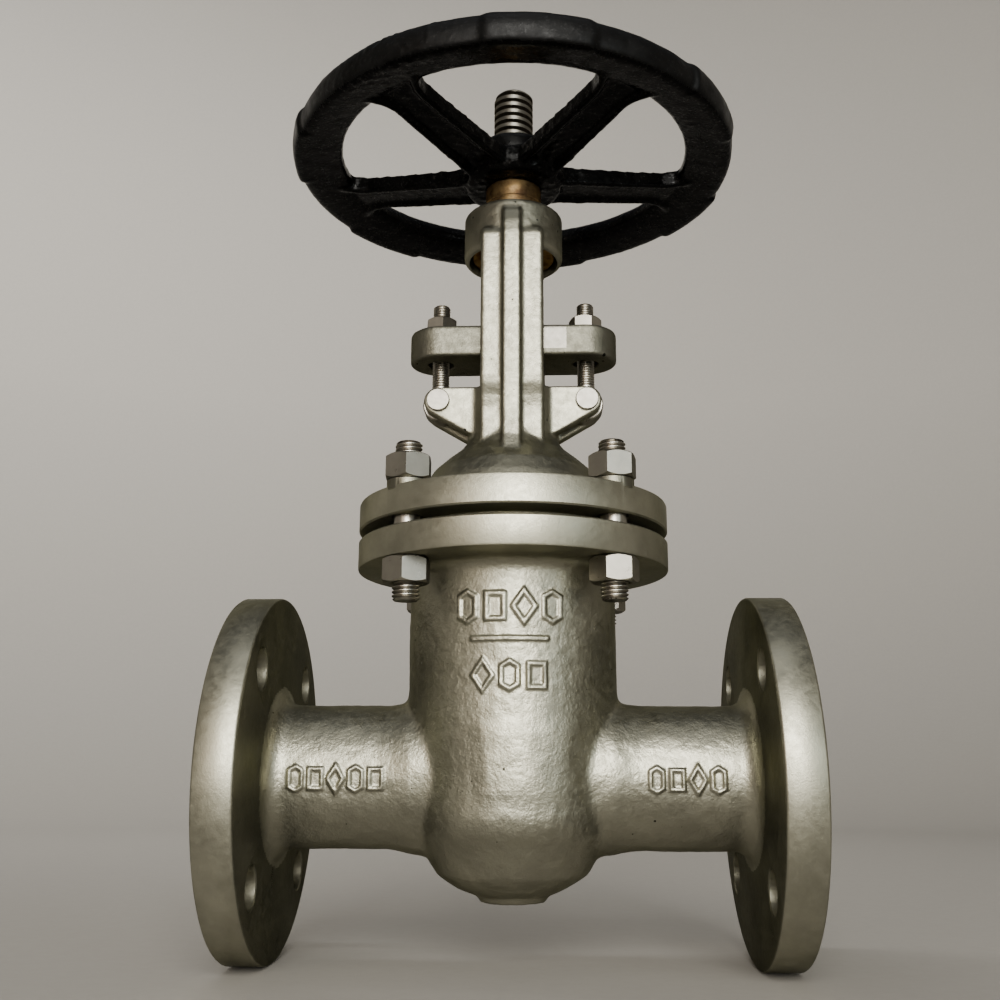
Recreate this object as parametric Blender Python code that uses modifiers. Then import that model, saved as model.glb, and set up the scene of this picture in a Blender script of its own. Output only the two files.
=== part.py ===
"""Flanged wedge gate valve with outside screw and yoke, DN 50 size.

Frame: metres, +Z up the stem, +X along the pipe. The origin is where the
bore's axis meets the stem's axis. The valve is modelled closed: the wedge is
on its seats, and the joints open it from there.
"""

import math

import bmesh
import bpy
from mathutils import Matrix, Vector

# ---------------------------------------------------------------- driving sizes (metres)
GAP = 0.0003               # clearance left between pieces that touch

BORE_R = 0.025             # nominal bore, DN 50
FACE_TO_FACE = 0.250
PIPE_FLANGE_R = 0.080
PIPE_FLANGE_T = 0.020      # with its raised face
RAISED_FACE_R = 0.0505
RAISED_FACE_H = 0.003
PIPE_BOLT_CIRCLE_R = 0.0625
PIPE_BOLT_HOLE_R = 0.009
NECK_R = 0.0315
NECK_FILLET = 0.008

BARREL_R = 0.0475
CAVITY_R = 0.040
DOME_BOTTOM_Z = -0.0516
BOSS_R = 0.0145
BOSS_Z = -0.0535

BONNET_FLANGE_R = 0.0722
BODY_FLANGE_Z = (0.0919, 0.1054)
BONNET_FLANGE_Z = (0.1098, 0.1229)
LAND_R = 0.0560
LAND_H = 0.0012
STUD_PLACE = 0.0447        # each stud stands at (+-STUD_PLACE, +-STUD_PLACE)
STUD_R = 0.006
STUD_HOLE_R = 0.007
STUD_Z = (0.0730, 0.1435)
STUD_NUT_FLATS = 0.019
STUD_NUT_H = 0.0111
NUT_PAD_H = 0.003
NUT_PAD_R = 0.0105

BOX_R = 0.0215             # outside of the stuffing box
BOX_BORE_R = 0.016
BOX_TOP_Z = 0.1815
BOX_FLOOR_Z = 0.141

STEM_R = 0.010
STEM_TOP_Z = 0.344
STEM_SHOULDER_Z = 0.073
LIFT = 0.055               # stroke of the stem, closed to back-seated

WEDGE_R = 0.030
WEDGE_HALF_T = 0.010       # at the bore's axis
WEDGE_ANGLE = math.radians(5.0)
SEAT_T = 0.008
SEAT_R = 0.030

EYE_X = 0.0355             # the two eyebolts stand at x = +-EYE_X
EYE_Z = 0.1745
EYE_R = 0.008
EYE_T = 0.0096
EYEBOLT_R = 0.004
EYEBOLT_TOP_Z = 0.227
EYE_PIN_R = 0.004
LUG_TIP_R = 0.007
LUG_Y = (0.0053, 0.0120)

GLAND_Z = (0.1960, 0.2115)
GLAND_LENGTH = 0.101
GLAND_WIDTH = 0.031
GLAND_HOLE_R = 0.0063
GLAND_NUT_FLATS = 0.014
GLAND_NUT_H = 0.008

ARM_WIDTH = 0.030          # of each yoke arm, along X
ARM_Y = (0.0170, 0.0250)
RIB_WIDTH = 0.0085
RIB_Y = 0.0290
HUB_R = 0.0245
HUB_Z = (0.250, 0.274)
NUT_FLANGE_R = 0.0205
NUT_BODY_R = 0.0135
NUT_COLLAR_R = 0.0140
NUT_THREAD_R = 0.0130

WHEEL_R = 0.1015           # centreline of the rim
RIM_SECTION = ((0.0086, -0.0082), (0.0103, -0.0028), (0.0100, 0.0022), (0.0072, 0.0066), (0.0010, 0.0090),
               (-0.0060, 0.0086), (-0.0118, 0.0056), (-0.0144, 0.0012), (-0.0142, -0.0024),
               (-0.0115, -0.0044), (-0.0020, -0.0068), (0.0055, -0.0086))
WHEEL_Z = 0.307
WHEEL_HUB_R = 0.0250
WHEEL_HUB_Z = (0.2903, 0.3040)
SPOKES = 5
SPOKE_WIDTHS = (0.0215, 0.0195)   # at the hub and at the rim
SPOKE_T = 0.0085
WHEEL_NUT_R = 0.0188
WHEEL_NUT_Z = (0.3043, 0.3145)

ROUND = 32                 # sides of the large turned pieces
SMALL = 16                 # sides of the small ones
FINE = 12                  # sides of small bores

SIDES = (("left", -1), ("right", 1))
CORNERS = (("front_left", -1, -1), ("front_right", 1, -1),
           ("back_left", -1, 1), ("back_right", 1, 1))


# ---------------------------------------------------------------- scene and materials
def clear_scene():
    for obj in list(bpy.data.objects):
        bpy.data.objects.remove(obj, do_unlink=True)


def new_collection(name):
    collection = bpy.data.collections.new(name)
    bpy.context.scene.collection.children.link(collection)
    return collection


def material(name, colour, roughness, metallic):
    mat = bpy.data.materials.new(name)
    mat.use_nodes = True
    shader = mat.node_tree.nodes["Principled BSDF"]
    shader.inputs["Base Color"].default_value = (*colour, 1.0)
    shader.inputs["Roughness"].default_value = roughness
    shader.inputs["Metallic"].default_value = metallic
    return mat


clear_scene()
PARTS = new_collection("gate_valve")
CUTTERS = new_collection("cutters")

CAST_STEEL = material("cast_steel", (0.46, 0.44, 0.41), 0.55, 0.9)
BRIGHT_STEEL = material("bright_steel", (0.62, 0.61, 0.59), 0.28, 1.0)
BRONZE = material("bronze", (0.50, 0.36, 0.17), 0.35, 1.0)
ENAMEL = material("black_enamel", (0.012, 0.012, 0.013), 0.30, 0.0)
GRAPHITE = material("graphite", (0.05, 0.05, 0.052), 0.7, 0.0)


# ---------------------------------------------------------------- modelling helpers
def add_object(name, mesh, collection=None):
    obj = bpy.data.objects.new(name, mesh)
    (collection or PARTS).objects.link(obj)
    return obj


def settle(obj):
    """Turn the object's modifiers into mesh, weld it and point its faces out."""
    depsgraph = bpy.context.evaluated_depsgraph_get()
    mesh = bpy.data.meshes.new_from_object(obj.evaluated_get(depsgraph))
    obj.modifiers.clear()
    obj.data = mesh
    bm = bmesh.new()
    bm.from_mesh(mesh)
    bmesh.ops.remove_doubles(bm, verts=bm.verts, dist=2e-6)
    bmesh.ops.dissolve_degenerate(bm, edges=bm.edges, dist=2e-6)
    bmesh.ops.recalc_face_normals(bm, faces=bm.faces)
    bm.to_mesh(mesh)
    bm.free()
    return obj


def turned(name, profile, steps=ROUND, closed=True, collection=None):
    """A (radius, z) outline, down its outer side, turned about Z."""
    bm = bmesh.new()
    verts = [bm.verts.new((r, 0.0, z)) for r, z in profile]
    for a, b in zip(verts, verts[1:]):
        bm.edges.new((a, b))
    if closed:
        bm.edges.new((verts[-1], verts[0]))
    mesh = bpy.data.meshes.new(name)
    bm.to_mesh(mesh)
    bm.free()
    obj = add_object(name, mesh, collection)
    screw = obj.modifiers.new("turn", "SCREW")
    screw.steps = steps
    screw.render_steps = steps
    screw.use_merge_vertices = True
    screw.merge_threshold = 0.00001
    return settle(obj)


def ring(name, outer, inner, low, high, steps=SMALL, collection=None):
    profile = ((outer, high), (outer, low), (inner, low), (inner, high))
    return turned(name, profile, steps, True, collection)


def rod(name, radius, low, high, steps=SMALL, chamfer=0.0, collection=None):
    profile = [(0.0, high), (radius - chamfer, high), (radius, high - chamfer),
               (radius, low + chamfer), (radius - chamfer, low), (0.0, low)]
    if chamfer == 0.0:
        profile = [(0.0, high), (radius, high), (radius, low), (0.0, low)]
    return turned(name, profile, steps, False, collection)


def arc(centre, radius, start, end, count):
    """Points of an arc, in degrees from the first axis towards the second."""
    points = []
    for i in range(count + 1):
        angle = math.radians(start + (end - start) * i / count)
        points.append((centre[0] + radius * math.cos(angle), centre[1] + radius * math.sin(angle)))
    return points


def plate(name, outline, thickness, collection=None):
    """A flat outline in XY, of the given thickness along Z, made a mesh."""
    curve = bpy.data.curves.new(name, "CURVE")
    curve.dimensions = "2D"
    curve.fill_mode = "BOTH"
    curve.extrude = thickness / 2
    spline = curve.splines.new("POLY")
    spline.points.add(len(outline) - 1)
    for point, (x, y) in zip(spline.points, outline):
        point.co = (x, y, 0.0, 1.0)
    spline.use_cyclic_u = True
    guide = add_object(name + "_outline", curve, CUTTERS)
    depsgraph = bpy.context.evaluated_depsgraph_get()
    mesh = bpy.data.meshes.new_from_object(guide.evaluated_get(depsgraph))
    obj = add_object(name, mesh, collection)
    obj.matrix_world = guide.matrix_world
    bpy.data.objects.remove(guide, do_unlink=True)
    return settle(obj)


def block(name, low, high, collection=None):
    bm = bmesh.new()
    size = [b - a for a, b in zip(low, high)]
    middle = Vector([(a + b) / 2 for a, b in zip(low, high)])
    bmesh.ops.create_cube(bm, size=1.0, matrix=Matrix.Translation(middle) @ Matrix.Diagonal((*size, 1.0)))
    mesh = bpy.data.meshes.new(name)
    bm.to_mesh(mesh)
    bm.free()
    return add_object(name, mesh, collection)


def place(obj, matrix):
    obj.data.transform(matrix)
    return obj


def bevelled(obj, width, segments=2, angle=40.0):
    bevel = obj.modifiers.new("edges", "BEVEL")
    bevel.width = width
    bevel.segments = segments
    bevel.limit_method = "ANGLE"
    bevel.angle_limit = math.radians(angle)
    return settle(obj)


def combine(obj, others, operation):
    """Join the other shapes to the object, or cut them out of it."""
    for other in others:
        boolean = obj.modifiers.new(operation.lower(), "BOOLEAN")
        boolean.operation = operation
        boolean.solver = "EXACT"
        boolean.object = other
        settle(obj)
        bpy.data.objects.remove(other, do_unlink=True)
    return obj


def finish(obj, mat, pivot=(0.0, 0.0, 0.0), angle=35.0):
    """Give the piece its material, its smooth shading and its origin."""
    obj.data.materials.clear()
    obj.data.materials.append(mat)
    obj.data.shade_smooth()
    obj.data.set_sharp_from_angle(angle=math.radians(angle))
    obj.data.transform(Matrix.Translation(-Vector(pivot)))
    obj.location = pivot
    return obj


def along_x(obj):
    """Turn a shape made about Z so that its top points along +X."""
    return place(obj, Matrix.Rotation(math.radians(90), 4, "Y"))


def along_y(obj):
    """Turn a shape made about Z so that its top points along -Y."""
    return place(obj, Matrix.Rotation(math.radians(90), 4, "X"))


def hexagon_nut(name, flats, bore, low, high):
    """A hexagon nut about Z, its corners taken off by a cone at both ends."""
    corner_r = flats / math.sqrt(3)
    nut = plate(name, arc((0.0, 0.0), corner_r, 0, 300, 5), high - low)
    place(nut, Matrix.Translation((0.0, 0.0, (low + high) / 2)))
    drop = (corner_r - flats / 2) * 0.6
    trim = ((flats / 2, high), (corner_r + GAP, high - drop), (corner_r + GAP, low + drop), (flats / 2, low))
    turned_trim = turned(name + "_trim", ((0.0, high), *trim, (0.0, low)), SMALL, False, CUTTERS)
    combine(nut, [turned_trim], "INTERSECT")
    return combine(nut, [rod(name + "_bore", bore, low - 0.001, high + 0.001, FINE, 0.0, CUTTERS)],
                   "DIFFERENCE")


# ---------------------------------------------------------------- body
def seat_frame(side):
    """The tilted frame of one seat: its X axis is square to the wedge's face."""
    turn = Matrix.Rotation(0.0 if side > 0 else math.pi, 4, "Z")
    return turn @ Matrix.Rotation(WEDGE_ANGLE, 4, "Y")


SEAT_FACE = WEDGE_HALF_T * math.cos(WEDGE_ANGLE) + GAP
SEAT_BACK = SEAT_FACE + SEAT_T


def body_outside():
    """The barrel with its domed bottom, boss and bonnet flange."""
    low, high = BODY_FLANGE_Z
    dome_centre = DOME_BOTTOM_Z + 0.054
    profile = [(0.0, high), (BONNET_FLANGE_R, high), (BONNET_FLANGE_R, low)]
    profile += [(BARREL_R + r, z) for r, z in arc((0.006, low - 0.006), 0.006, 90, 180, 3)]
    profile += [(BARREL_R, -0.008)]
    profile += arc((BARREL_R - 0.020, -0.014), 0.020, 0, -42, 3)
    profile += arc((0.0, dome_centre), 0.054, -52, -74, 3)
    profile += [(BOSS_R, BOSS_Z), (0.0, BOSS_Z)]
    return turned("body", profile, ROUND, False)


def body_port():
    """Both pipe flanges and their necks as one solid bar along X."""
    half = FACE_TO_FACE / 2
    rim = half - RAISED_FACE_H
    back = half - PIPE_FLANGE_T
    end = [(RAISED_FACE_R, half), (RAISED_FACE_R, rim), (PIPE_FLANGE_R - 0.001, rim),
           (PIPE_FLANGE_R, rim - 0.001), (PIPE_FLANGE_R, back)]
    fillet = arc((NECK_R + NECK_FILLET, back - NECK_FILLET), NECK_FILLET, 90, 180, 4)
    flare = [(NECK_R, 0.056), (NECK_R + 0.002, 0.048), (NECK_R + 0.006, 0.041)]
    upper = [(0.0, half)] + end + fillet + flare
    lower = [(r, -z) for r, z in reversed(upper)]
    return along_x(turned("port", upper + lower, ROUND, False, CUTTERS))


def body_cavity():
    profile = [(0.0, 0.110), (CAVITY_R, 0.110), (CAVITY_R, -0.012)]
    profile += arc((CAVITY_R - 0.018, -0.012), 0.018, -15, -60, 3)
    profile += [(0.018, -0.0415), (0.0, -0.044)]
    return turned("cavity", profile, ROUND, False, CUTTERS)


def make_body():
    body = combine(body_outside(), [body_port()], "UNION")
    low, high = BODY_FLANGE_Z
    land = rod("land", LAND_R, high - 0.002, high + LAND_H, ROUND, 0.0, CUTTERS)
    combine(body, [land], "UNION")
    combine(body, [body_cavity()], "DIFFERENCE")
    bosses = along_x(rod("seat_bosses", 0.0335, -0.043, 0.043, ROUND, 0.0, CUTTERS))
    for side in (-1, 1):
        gap = along_x(rod("wedge_gap", 0.038, -0.012, SEAT_FACE + 0.002, ROUND, 0.0, CUTTERS))
        combine(bosses, [place(gap, seat_frame(side))], "DIFFERENCE")
    combine(body, [bosses], "UNION")
    for side in (-1, 1):
        edges = sorted((side * 0.0275, side * 0.0415))
        rib = block("guide", (-0.0025, edges[0], -0.020), (0.0025, edges[1], 0.100), CUTTERS)
        combine(body, [rib], "UNION")
    for side in (-1, 1):
        pocket = along_x(rod("pocket", SEAT_R + GAP, 0.005, SEAT_BACK + GAP, ROUND, 0.0, CUTTERS))
        combine(body, [place(pocket, seat_frame(side))], "DIFFERENCE")
    bore = along_x(rod("bore", BORE_R, -0.130, 0.130, ROUND, 0.0, CUTTERS))
    combine(body, [bore], "DIFFERENCE")
    holes = []
    for side in (-1, 1):
        for i in range(4):
            angle = math.radians(45 + 90 * i)
            hole = along_x(rod("bolt_hole", PIPE_BOLT_HOLE_R, 0.100, 0.127, SMALL, 0.0, CUTTERS))
            across = Vector((0.0, PIPE_BOLT_CIRCLE_R * math.cos(angle), PIPE_BOLT_CIRCLE_R * math.sin(angle)))
            flip = Matrix.Rotation(0.0 if side > 0 else math.pi, 4, "Z")
            holes.append(place(hole, flip @ Matrix.Translation(across)))
    for _, x, y in CORNERS:
        hole = rod("stud_hole", STUD_HOLE_R, low - 0.004, high + 0.004, FINE, 0.0, CUTTERS)
        holes.append(place(hole, Matrix.Translation((x * STUD_PLACE, y * STUD_PLACE, 0.0))))
    combine(body, holes, "DIFFERENCE")
    return finish(body, CAST_STEEL)


def make_seat(name, side):
    seat = ring(name, SEAT_R, BORE_R + 0.0002, SEAT_FACE, SEAT_BACK, ROUND)
    place(along_x(seat), seat_frame(side))
    return finish(seat, BRIGHT_STEEL)


# ---------------------------------------------------------------- wedge and stem
HEAD_Z = (0.0334, 0.0402)      # the stem's T-head
WEDGE_TOP_Z = 0.0460


def make_wedge():
    wedge = along_x(rod("wedge", WEDGE_R, -0.020, 0.020, ROUND))
    lug = block("lug", (-0.0115, -0.0140, 0.020), (0.0115, 0.0140, WEDGE_TOP_Z), CUTTERS)
    combine(wedge, [lug], "UNION")
    for side in (-1, 1):
        slab = block("slab", (WEDGE_HALF_T * math.cos(WEDGE_ANGLE), -0.05, -0.05), (0.050, 0.05, 0.05), CUTTERS)
        combine(wedge, [place(slab, seat_frame(side))], "DIFFERENCE")
        edges = sorted((side * 0.0265, side * 0.0400))
        groove = block("groove", (-0.0033, edges[0], -0.05), (0.0033, edges[1], 0.05), CUTTERS)
        combine(wedge, [groove], "DIFFERENCE")
    head = block("head_slot", (-0.02, -0.0098, HEAD_Z[0] - 0.0004), (0.02, 0.0098, HEAD_Z[1] + 0.0004), CUTTERS)
    neck = block("neck_slot", (-0.02, -0.0066, HEAD_Z[0]), (0.02, 0.0066, WEDGE_TOP_Z + 0.01), CUTTERS)
    combine(wedge, [head, neck], "DIFFERENCE")
    return finish(wedge, BRIGHT_STEEL)


def make_stem():
    neck_r = 0.006
    shoulder = 0.0135
    profile = [(0.0, STEM_TOP_Z), (STEM_R - 0.0015, STEM_TOP_Z), (STEM_R, STEM_TOP_Z - 0.0015),
               (STEM_R, STEM_SHOULDER_Z), (shoulder, STEM_SHOULDER_Z - 0.0035),
               (shoulder, STEM_SHOULDER_Z - 0.0075), (STEM_R, STEM_SHOULDER_Z - 0.0110),
               (STEM_R, WEDGE_TOP_Z + 0.0030), (neck_r, WEDGE_TOP_Z + 0.0008),
               (neck_r, HEAD_Z[1] - 0.001), (0.0, HEAD_Z[1] - 0.001)]
    stem = turned("stem", profile, 24, False)
    head = block("head", (-0.009, -0.009, HEAD_Z[0]), (0.009, 0.009, HEAD_Z[1]), CUTTERS)
    combine(stem, [head], "UNION")
    return finish(stem, BRIGHT_STEEL)


# ---------------------------------------------------------------- bonnet with its yoke
def bonnet_outside():
    low, high = BONNET_FLANGE_Z
    profile = [(0.0, BOX_TOP_Z), (BOX_R - 0.001, BOX_TOP_Z), (BOX_R, BOX_TOP_Z - 0.001), (BOX_R, 0.1580),
               (0.0226, 0.1545), (0.0258, 0.1505), (0.0320, 0.1455), (0.0380, 0.1400),
               (0.0425, 0.1330), (0.0450, 0.1268), (0.0480, high),
               (BONNET_FLANGE_R, high), (BONNET_FLANGE_R, low), (LAND_R, low),
               (LAND_R, low - LAND_H), (0.0, low - LAND_H)]
    return turned("bonnet", profile, ROUND, False)


def bonnet_cavity():
    """The hollow for the raised wedge, the back-seat pocket and the stuffing box."""
    low = BONNET_FLANGE_Z[0]
    profile = [(0.0, 0.185), (BOX_BORE_R, 0.185), (BOX_BORE_R, BOX_FLOOR_Z), (0.0110, BOX_FLOOR_Z),
               (0.0110, 0.1370), (0.0153, 0.1370), (0.0153, 0.1300), (0.0250, 0.1300),
               (0.0340, 0.1230), (0.0380, 0.1130), (0.0380, low - 0.005), (0.0, low - 0.005)]
    return turned("bonnet_cavity", profile, ROUND, False, CUTTERS)


def yoke_arm(side):
    """One arm, drawn in its (Y, Z) plane: the flange that faces the stem, and its rib."""
    inner, outer = ARM_Y
    flange = [(0.0165, 0.1640), (0.0205, 0.1640), (0.0225, 0.1700), (0.0243, 0.1765), (outer, 0.1830),
              (outer, 0.2500), (0.0235, 0.2640), (inner, 0.2640), (inner, 0.1850), (0.0165, 0.1805)]
    rib = [(0.0185, 0.1480), (0.0330, 0.1440), (0.0303, 0.1530), (0.0292, 0.1640), (RIB_Y, 0.1760),
           (RIB_Y, 0.2540), (0.0280, 0.2640), (0.0240, 0.2705), (0.0200, 0.2700), (0.0200, 0.1900)]
    upright = Matrix.Rotation(math.radians(90), 4, "Z") @ Matrix.Rotation(math.radians(90), 4, "X")
    turn = Matrix.Rotation(0.0 if side > 0 else math.pi, 4, "Z")
    shapes = []
    for outline, width, edge in ((flange, ARM_WIDTH, 0.0025), (rib, RIB_WIDTH, 0.0016)):
        shape = plate("arm", outline, width, CUTTERS)
        shapes.append(place(bevelled(shape, edge, 2, 60.0), turn @ upright))
    return shapes


def eye_lug(side, cheek):
    """One of the two cheeks that hold an eyebolt's pin, drawn in its (X, Z) plane."""
    tip = arc((EYE_X, EYE_Z), LUG_TIP_R, 90, -55, 7)
    outline = [(0.0175, BOX_TOP_Z)] + tip + [(0.0205, 0.1575), (0.0175, 0.1575)]
    width = LUG_Y[1] - LUG_Y[0]
    lug = plate("eye_lug", outline, width, CUTTERS)
    along_y(lug)
    place(lug, Matrix.Translation((0.0, cheek * (LUG_Y[0] + LUG_Y[1]) / 2, 0.0)))
    return place(lug, Matrix.Rotation(0.0 if side > 0 else math.pi, 4, "Z"))


def make_bonnet():
    low, high = BONNET_FLANGE_Z
    bonnet = bonnet_outside()
    joined = [rod("hub", HUB_R, HUB_Z[0], HUB_Z[1], ROUND, 0.0015, CUTTERS)]
    for side in (-1, 1):
        joined += yoke_arm(side)
        joined += [eye_lug(side, -1), eye_lug(side, 1)]
    for _, x, y in CORNERS:
        pad = rod("pad", NUT_PAD_R, high - 0.002, high + NUT_PAD_H, SMALL, 0.0, CUTTERS)
        joined.append(place(pad, Matrix.Translation((x * STUD_PLACE, y * STUD_PLACE, 0.0))))
    combine(bonnet, joined, "UNION")
    cuts = [bonnet_cavity()]
    cuts.append(rod("nut_bore", NUT_BODY_R + GAP, HUB_Z[0] - 0.01, HUB_Z[1] + 0.01, ROUND, 0.0, CUTTERS))
    cuts.append(rod("nut_counterbore", NUT_FLANGE_R + 0.0010, HUB_Z[0] - 0.01, 0.2600, ROUND, 0.0, CUTTERS))
    for side in (-1, 1):
        pin_hole = along_y(rod("pin_hole", EYE_PIN_R + GAP, -0.02, 0.02, FINE, 0.0, CUTTERS))
        cuts.append(place(pin_hole, Matrix.Translation((side * EYE_X, 0.0, EYE_Z))))
    for _, x, y in CORNERS:
        hole = rod("stud_hole", STUD_HOLE_R, low - 0.004, high + 0.008, FINE, 0.0, CUTTERS)
        cuts.append(place(hole, Matrix.Translation((x * STUD_PLACE, y * STUD_PLACE, 0.0))))
    combine(bonnet, cuts, "DIFFERENCE")
    return finish(bonnet, CAST_STEEL)


# ---------------------------------------------------------------- seals and gland
def make_seals():
    land = BODY_FLANGE_Z[1] + LAND_H + GAP
    under = BONNET_FLANGE_Z[0] - LAND_H - GAP
    finish(ring("bonnet_gasket", 0.0545, 0.0420, land, under, ROUND), GRAPHITE)
    finish(ring("backseat_bush", 0.0150, STEM_R + 0.0006, 0.1283, 0.1367), BRIGHT_STEEL)
    rings = 5
    pitch = 0.00595
    for i in range(rings):
        base = BOX_FLOOR_Z + GAP + i * pitch
        packing = ring(f"packing_ring_{i + 1}", 0.0157, STEM_R + 0.0003, base, base + pitch - GAP)
        finish(packing, GRAPHITE)


def make_gland():
    profile = [(0.0155, GLAND_Z[0] - GAP), (0.0155, 0.1713), (STEM_R + 0.0004, 0.1713),
               (STEM_R + 0.0004, GLAND_Z[0] - GAP)]
    finish(turned("gland_bush", profile, 24), BRIGHT_STEEL)
    end = GLAND_LENGTH / 2 - GLAND_WIDTH / 2
    outline = arc((end, 0.0), GLAND_WIDTH / 2, -90, 90, 12) + arc((-end, 0.0), GLAND_WIDTH / 2, 90, 270, 12)
    low, high = GLAND_Z
    flange = plate("gland_flange", outline, high - low)
    place(flange, Matrix.Translation((0.0, 0.0, (low + high) / 2)))
    bevelled(flange, 0.0014, 2, 50.0)
    cuts = [rod("stem_hole", STEM_R + 0.0007, low - 0.01, high + 0.01, ROUND, 0.0, CUTTERS)]
    for side in (-1, 1):
        hole = rod("eye_hole", GLAND_HOLE_R, low - 0.01, high + 0.01, SMALL, 0.0, CUTTERS)
        cuts.append(place(hole, Matrix.Translation((side * EYE_X, 0.0, 0.0))))
    combine(flange, cuts, "DIFFERENCE")
    finish(flange, CAST_STEEL)


def make_eyebolt(word, side):
    x = side * EYE_X
    shank = rod("eyebolt_" + word, EYEBOLT_R, EYE_Z + 0.005, EYEBOLT_TOP_Z, SMALL, 0.0008)
    eye = along_y(rod("eye", EYE_R, -EYE_T / 2, EYE_T / 2, SMALL, 0.0, CUTTERS))
    combine(shank, [place(eye, Matrix.Translation((0.0, 0.0, EYE_Z)))], "UNION")
    hole = along_y(rod("eye_hole", EYE_PIN_R + GAP, -0.01, 0.01, FINE, 0.0, CUTTERS))
    combine(shank, [place(hole, Matrix.Translation((0.0, 0.0, EYE_Z)))], "DIFFERENCE")
    place(shank, Matrix.Translation((x, 0.0, 0.0)))
    finish(shank, BRIGHT_STEEL, (x, 0.0, EYE_Z))

    head_r = 0.0055
    face = LUG_Y[1] + GAP
    profile = [(0.0, face + 0.0015), (head_r, face + 0.0015), (head_r, face), (EYE_PIN_R, face),
               (EYE_PIN_R, -face), (head_r, -face), (head_r, -face - 0.0015), (0.0, -face - 0.0015)]
    pin = along_y(turned("eyebolt_pin_" + word, profile, SMALL, False))
    place(pin, Matrix.Translation((x, 0.0, EYE_Z)))
    finish(pin, BRIGHT_STEEL, (x, 0.0, EYE_Z))

    base = GLAND_Z[1] + GAP
    nut = hexagon_nut("gland_nut_" + word, GLAND_NUT_FLATS, EYEBOLT_R + GAP, base, base + GLAND_NUT_H)
    place(nut, Matrix.Translation((x, 0.0, 0.0)))
    finish(nut, BRIGHT_STEEL, (x, 0.0, base))


# ---------------------------------------------------------------- studs
def make_studs():
    below = BODY_FLANGE_Z[0] - GAP
    above = BONNET_FLANGE_Z[1] + NUT_PAD_H + GAP
    spans = {"lower": (below - STUD_NUT_H, below), "upper": (above, above + STUD_NUT_H)}
    for word, x, y in CORNERS:
        spot = Vector((x * STUD_PLACE, y * STUD_PLACE, 0.0))
        stud = rod("stud_" + word, STUD_R, STUD_Z[0], STUD_Z[1], SMALL, 0.001)
        place(stud, Matrix.Translation(spot))
        finish(stud, BRIGHT_STEEL, (*spot.xy, STUD_Z[0]))
        for level, (low, high) in spans.items():
            nut = hexagon_nut(f"nut_{level}_{word}", STUD_NUT_FLATS, STUD_R + GAP, low, high)
            place(nut, Matrix.Translation(spot))
            finish(nut, BRIGHT_STEEL, (*spot.xy, low))


# ---------------------------------------------------------------- stem nut and handwheel
KEY_Z = (0.2915, 0.3025)
KEY_HALF = 0.002
KEY_X = (0.0115, 0.0148)


def make_stem_nut():
    bore = STEM_R + 0.0003
    profile = [(NUT_THREAD_R, 0.3140), (NUT_THREAD_R, WHEEL_HUB_Z[0] - GAP),
               (NUT_COLLAR_R, WHEEL_HUB_Z[0] - GAP), (NUT_COLLAR_R, HUB_Z[1] + GAP),
               (NUT_BODY_R, HUB_Z[1] + GAP), (NUT_BODY_R, 0.2597), (NUT_FLANGE_R, 0.2597),
               (NUT_FLANGE_R, 0.2525), (bore, 0.2525), (bore, 0.3140)]
    nut = turned("stem_nut", profile, 24)
    slot = block("key_slot", (KEY_X[0] - GAP, -KEY_HALF - GAP, KEY_Z[0] - GAP),
                 (0.020, KEY_HALF + GAP, KEY_Z[1] + GAP), CUTTERS)
    combine(nut, [slot], "DIFFERENCE")
    finish(nut, BRONZE)
    key = block("wheel_key", (KEY_X[0], -KEY_HALF, KEY_Z[0]), (KEY_X[1], KEY_HALF, KEY_Z[1]))
    finish(key, BRIGHT_STEEL)


def spoke(angle):
    """One tapered spoke, rising a little from the hub to the rim."""
    inner, outer = WHEEL_HUB_R - 0.004, WHEEL_R
    hub_z, rim_z = WHEEL_HUB_Z[0] + 0.0065, WHEEL_Z - 0.002
    bar = block("spoke", (inner, -0.5, -SPOKE_T / 2), (outer, 0.5, SPOKE_T / 2), CUTTERS)
    for vert in bar.data.vertices:
        at_rim = vert.co.x > (inner + outer) / 2
        vert.co.y *= SPOKE_WIDTHS[at_rim]
        vert.co.z += rim_z if at_rim else hub_z
    bevelled(bar, 0.0025, 2)
    return place(bar, Matrix.Rotation(angle, 4, "Z"))


def make_handwheel():
    low, high = WHEEL_HUB_Z
    profile = [(WHEEL_HUB_R - 0.003, high), (WHEEL_HUB_R, high - 0.003), (WHEEL_HUB_R, low + 0.002),
               (WHEEL_HUB_R - 0.002, low), (NUT_THREAD_R + GAP, low), (NUT_THREAD_R + GAP, high)]
    section = [(WHEEL_R + out, WHEEL_Z + up) for out, up in RIM_SECTION]
    wheel = turned("handwheel", section, ROUND, True)
    spokes = [spoke(math.radians(90 + 360 * i / SPOKES)) for i in range(SPOKES)]
    solid_hub = turned("wheel_hub", profile, ROUND, True, CUTTERS)
    combine(wheel, spokes + [solid_hub], "UNION")
    cuts = [rod("wheel_bore", NUT_THREAD_R + GAP, low - 0.01, high + 0.01, ROUND, 0.0, CUTTERS)]
    cuts.append(block("keyway", (0.008, -KEY_HALF - GAP, KEY_Z[0] - GAP),
                      (KEY_X[1] + GAP, KEY_HALF + GAP, high + 0.002), CUTTERS))
    combine(wheel, cuts, "DIFFERENCE")
    finish(wheel, ENAMEL)


def make_wheel_nut():
    low, high = WHEEL_NUT_Z
    profile = [(WHEEL_NUT_R - 0.002, high), (WHEEL_NUT_R, high - 0.002), (WHEEL_NUT_R, low + 0.001),
               (WHEEL_NUT_R - 0.001, low), (NUT_THREAD_R + GAP, low), (NUT_THREAD_R + GAP, high)]
    finish(turned("wheel_nut", profile, ROUND), ENAMEL)


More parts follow.
